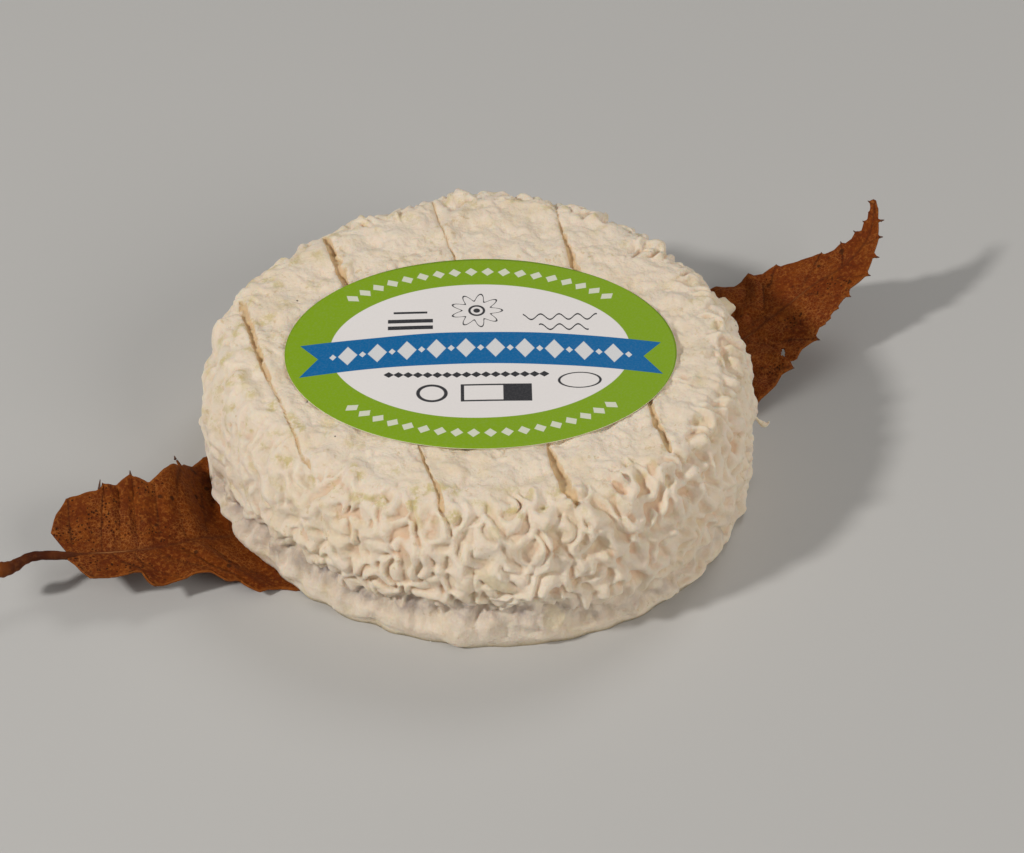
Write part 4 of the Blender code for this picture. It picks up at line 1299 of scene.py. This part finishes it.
class Print:
    # masks for printed shapes, in millimetres from the label's middle
    def __init__(self, g):
        self.g = g
        mapping = g.tree.nodes.new("ShaderNodeMapping")
        mapping.vector_type = "TEXTURE"
        cx, cy = labelPlace["centre"]
        mapping.inputs["Location"].default_value = (cx * mm, cy * mm, 0.0)
        mapping.inputs["Rotation"].default_value = (0.0, 0.0, labelPlace["turn"])
        mapping.inputs["Scale"].default_value = (mm, mm, mm)
        g.feed(mapping.inputs["Vector"], g.place)
        split = g.tree.nodes.new("ShaderNodeSeparateXYZ")
        g.feed(split.inputs[0], mapping.outputs[0])
        self.x, self.y = split.outputs[0], split.outputs[1]

    def below(self, value, limit, soft=0.05):
        return self.g.ramp(value, limit - soft, limit + soft, 1.0, 0.0)

    def within(self, value, centre, half, soft=0.05):
        # 1 where a value is less than half a width from the centre
        return self.below(self.g.math("ABSOLUTE", self.g.math("SUBTRACT", value, centre)), half, soft)

    def both(self, a, b):
        return self.g.math("MULTIPLY", a, b)

    def either(self, *shapes):
        joined = shapes[0]
        for shape in shapes[1:]:
            joined = self.g.math("MAXIMUM", joined, shape)
        return joined

    def without(self, a, b):
        return self.g.math("MULTIPLY", a, self.g.math("SUBTRACT", 1.0, b))

    def distance(self, cx, cy, rx=1.0, ry=1.0):
        g = self.g
        dx = g.math("DIVIDE", g.math("SUBTRACT", self.x, cx), rx)
        dy = g.math("DIVIDE", g.math("SUBTRACT", self.y, cy), ry)
        return g.math("SQRT", g.math("ADD", g.math("MULTIPLY", dx, dx), g.math("MULTIPLY", dy, dy)))

    def oval(self, cx, cy, rx, ry):
        return self.below(self.distance(cx, cy, rx, ry), 1.0, 0.05 / min(rx, ry))

    def box(self, y, cx, cy, halfX, halfY):
        return self.both(self.within(self.x, cx, halfX), self.within(y, cy, halfY))

    def lozenges(self, along, across, pitch, halfLength, halfHeight):
        # a row of lozenges, one a pitch
        g = self.g
        local = g.math("SUBTRACT", g.math("FRACT", g.math("DIVIDE", along, pitch)), 0.5)
        run = g.math("DIVIDE", g.math("ABSOLUTE", g.math("MULTIPLY", local, pitch)), halfLength)
        up = g.math("DIVIDE", g.math("ABSOLUTE", across), halfHeight)
        return self.below(g.math("ADD", run, up), 1.0, 0.06)


def ringGrains(g, p):
    # pale lozenges in two arcs, above and below
    halfL, halfW = labelPlace["length"] / 2, labelPlace["width"] / 2
    angle = g.math("ARCTAN2", g.math("DIVIDE", p.y, halfW), g.math("DIVIDE", p.x, halfL))
    ringAt = p.distance(0.0, 0.2, halfL - 3.9, halfW - 3.8)
    outOfLine = g.math("MULTIPLY", g.math("SUBTRACT", ringAt, 1.0), 25.0)
    fromTop = g.math("SUBTRACT", g.math("ABSOLUTE", angle), math.pi / 2)
    grains = p.lozenges(g.math("MULTIPLY", fromTop, 30.0), outOfLine, 3.0, 1.15, 1.25)
    return p.both(grains, p.within(fromTop, 0.0, 0.9, 0.004))


def fieldInk(g, p):
    # a flower of nine petals round a hoop and a dot
    cx, cy = label["flower"]
    flowerAngle = g.math("ARCTAN2", g.math("SUBTRACT", p.y, cy), g.math("SUBTRACT", p.x, cx))
    petals = g.math("MULTIPLY", g.math("COSINE", g.math("MULTIPLY", flowerAngle, 9.0)), 0.95)
    fromFlower = p.distance(cx, cy)
    shapes = [
        p.within(fromFlower, g.math("ADD", 3.6, petals), 0.17, 0.07),
        p.within(fromFlower, 1.3, 0.22, 0.07),
        p.below(fromFlower, 0.6, 0.07),
    ]

    # bars, wavy lines, a row of dashes, open ovals and a half filled box
    shapes += [p.box(p.y, *bar) for bar in label["bars"]]
    wavy = g.math("SUBTRACT", p.y, g.math("MULTIPLY", g.math("SINE", g.math("MULTIPLY", p.x, 1.9)), 0.75))
    shapes += [p.box(wavy, *wave) for wave in label["waves"]]
    dashes = p.lozenges(p.x, g.math("SUBTRACT", p.y, -6.1), 1.7, 0.95, 0.75)
    shapes.append(p.both(dashes, p.within(p.x, -2.55, 14.45)))
    for cx, cy, rx, ry, middle, half, soft in label["ovals"]:
        shapes.append(p.within(p.distance(cx, cy, rx, ry), middle, half, soft))
    outer, inner = (p.box(p.y, *side) for side in label["frame"])
    return p.either(p.without(outer, inner), *shapes)


def ribbonMasks(g, p):
    # arched, with swallow tails, and a row of large and small lozenges
    half, height, pitch = label["ribbonHalf"], label["ribbonHeight"], label["lozengePitch"]
    arch = g.math("MULTIPLY", g.math("MULTIPLY", p.x, p.x), -label["ribbonArch"] / half**2)
    ribbonY = g.math("SUBTRACT", p.y, g.math("ADD", arch, 1.0))
    fromMiddle = g.math("ABSOLUTE", ribbonY)
    notch = g.math("SUBTRACT", 1.0, g.math("DIVIDE", fromMiddle, height / 2))
    reach = g.math("ADD", g.math("ABSOLUTE", p.x), g.math("MULTIPLY", notch, label["ribbonNotch"]))
    ribbon = p.both(p.below(reach, half), p.below(fromMiddle, height / 2))
    big = p.lozenges(p.x, ribbonY, pitch, 1.7, 2.5)
    small = p.lozenges(g.math("ADD", p.x, pitch / 2), ribbonY, pitch, 0.62, 0.8)
    return ribbon, p.both(p.either(big, small), p.within(p.x, 0.0, label["lozengeRow"]))


def labelMaterial():
    g = Graph("printedPaper")
    p = Print(g)
    field = p.oval(*label["fieldCentre"], label["fieldSize"][0] / 2, label["fieldSize"][1] / 2)
    colour = g.mix(field, label["ringColour"], label["fieldColour"])
    colour = g.mix(ringGrains(g, p), colour, label["grainColour"])
    colour = g.mix(p.both(fieldInk(g, p), field), colour, label["inkColour"])
    ribbon, row = ribbonMasks(g, p)
    colour = g.mix(ribbon, colour, label["ribbonColour"])
    colour = g.mix(row, colour, label["lozengeColour"])

    # the cut edge and the underside are bare paper
    geometry = g.tree.nodes.new("ShaderNodeNewGeometry")
    normal = g.tree.nodes.new("ShaderNodeSeparateXYZ")
    g.feed(normal.inputs[0], geometry.outputs["True Normal"])
    colour = g.mix(g.ramp(normal.outputs[2], 0.3, 0.6, 1.0, 0.0), colour, label["paperColour"])
    fibres = g.noise(2600.0, 3.0, 0.6)
    colour = g.mix(g.ramp(fibres, 0.4, 0.7, 0.0, 0.05), colour, label["fibreColour"])
    return g.finish(
        colour, g.ramp(fibres, 0.3, 0.7, 0.38, 0.46), g.bump(fibres, 0.12, 0.00008), Specular_IOR_Level=0.18,
    )


def makeLabel():
    mesh = makeLabelMesh()
    mesh.materials.append(labelMaterial())
    piece = addPiece("paper_label", mesh, "label")
    solid = piece.modifiers.new("thickness", "SOLIDIFY")
    solid.thickness = label["thickness"] * mm
    solid.offset = 1.0
    print("label:", len(mesh.polygons), "faces a side")


makeCamera()
makeStudio()
makeCheese()
makeLeaf()
makeLabel()
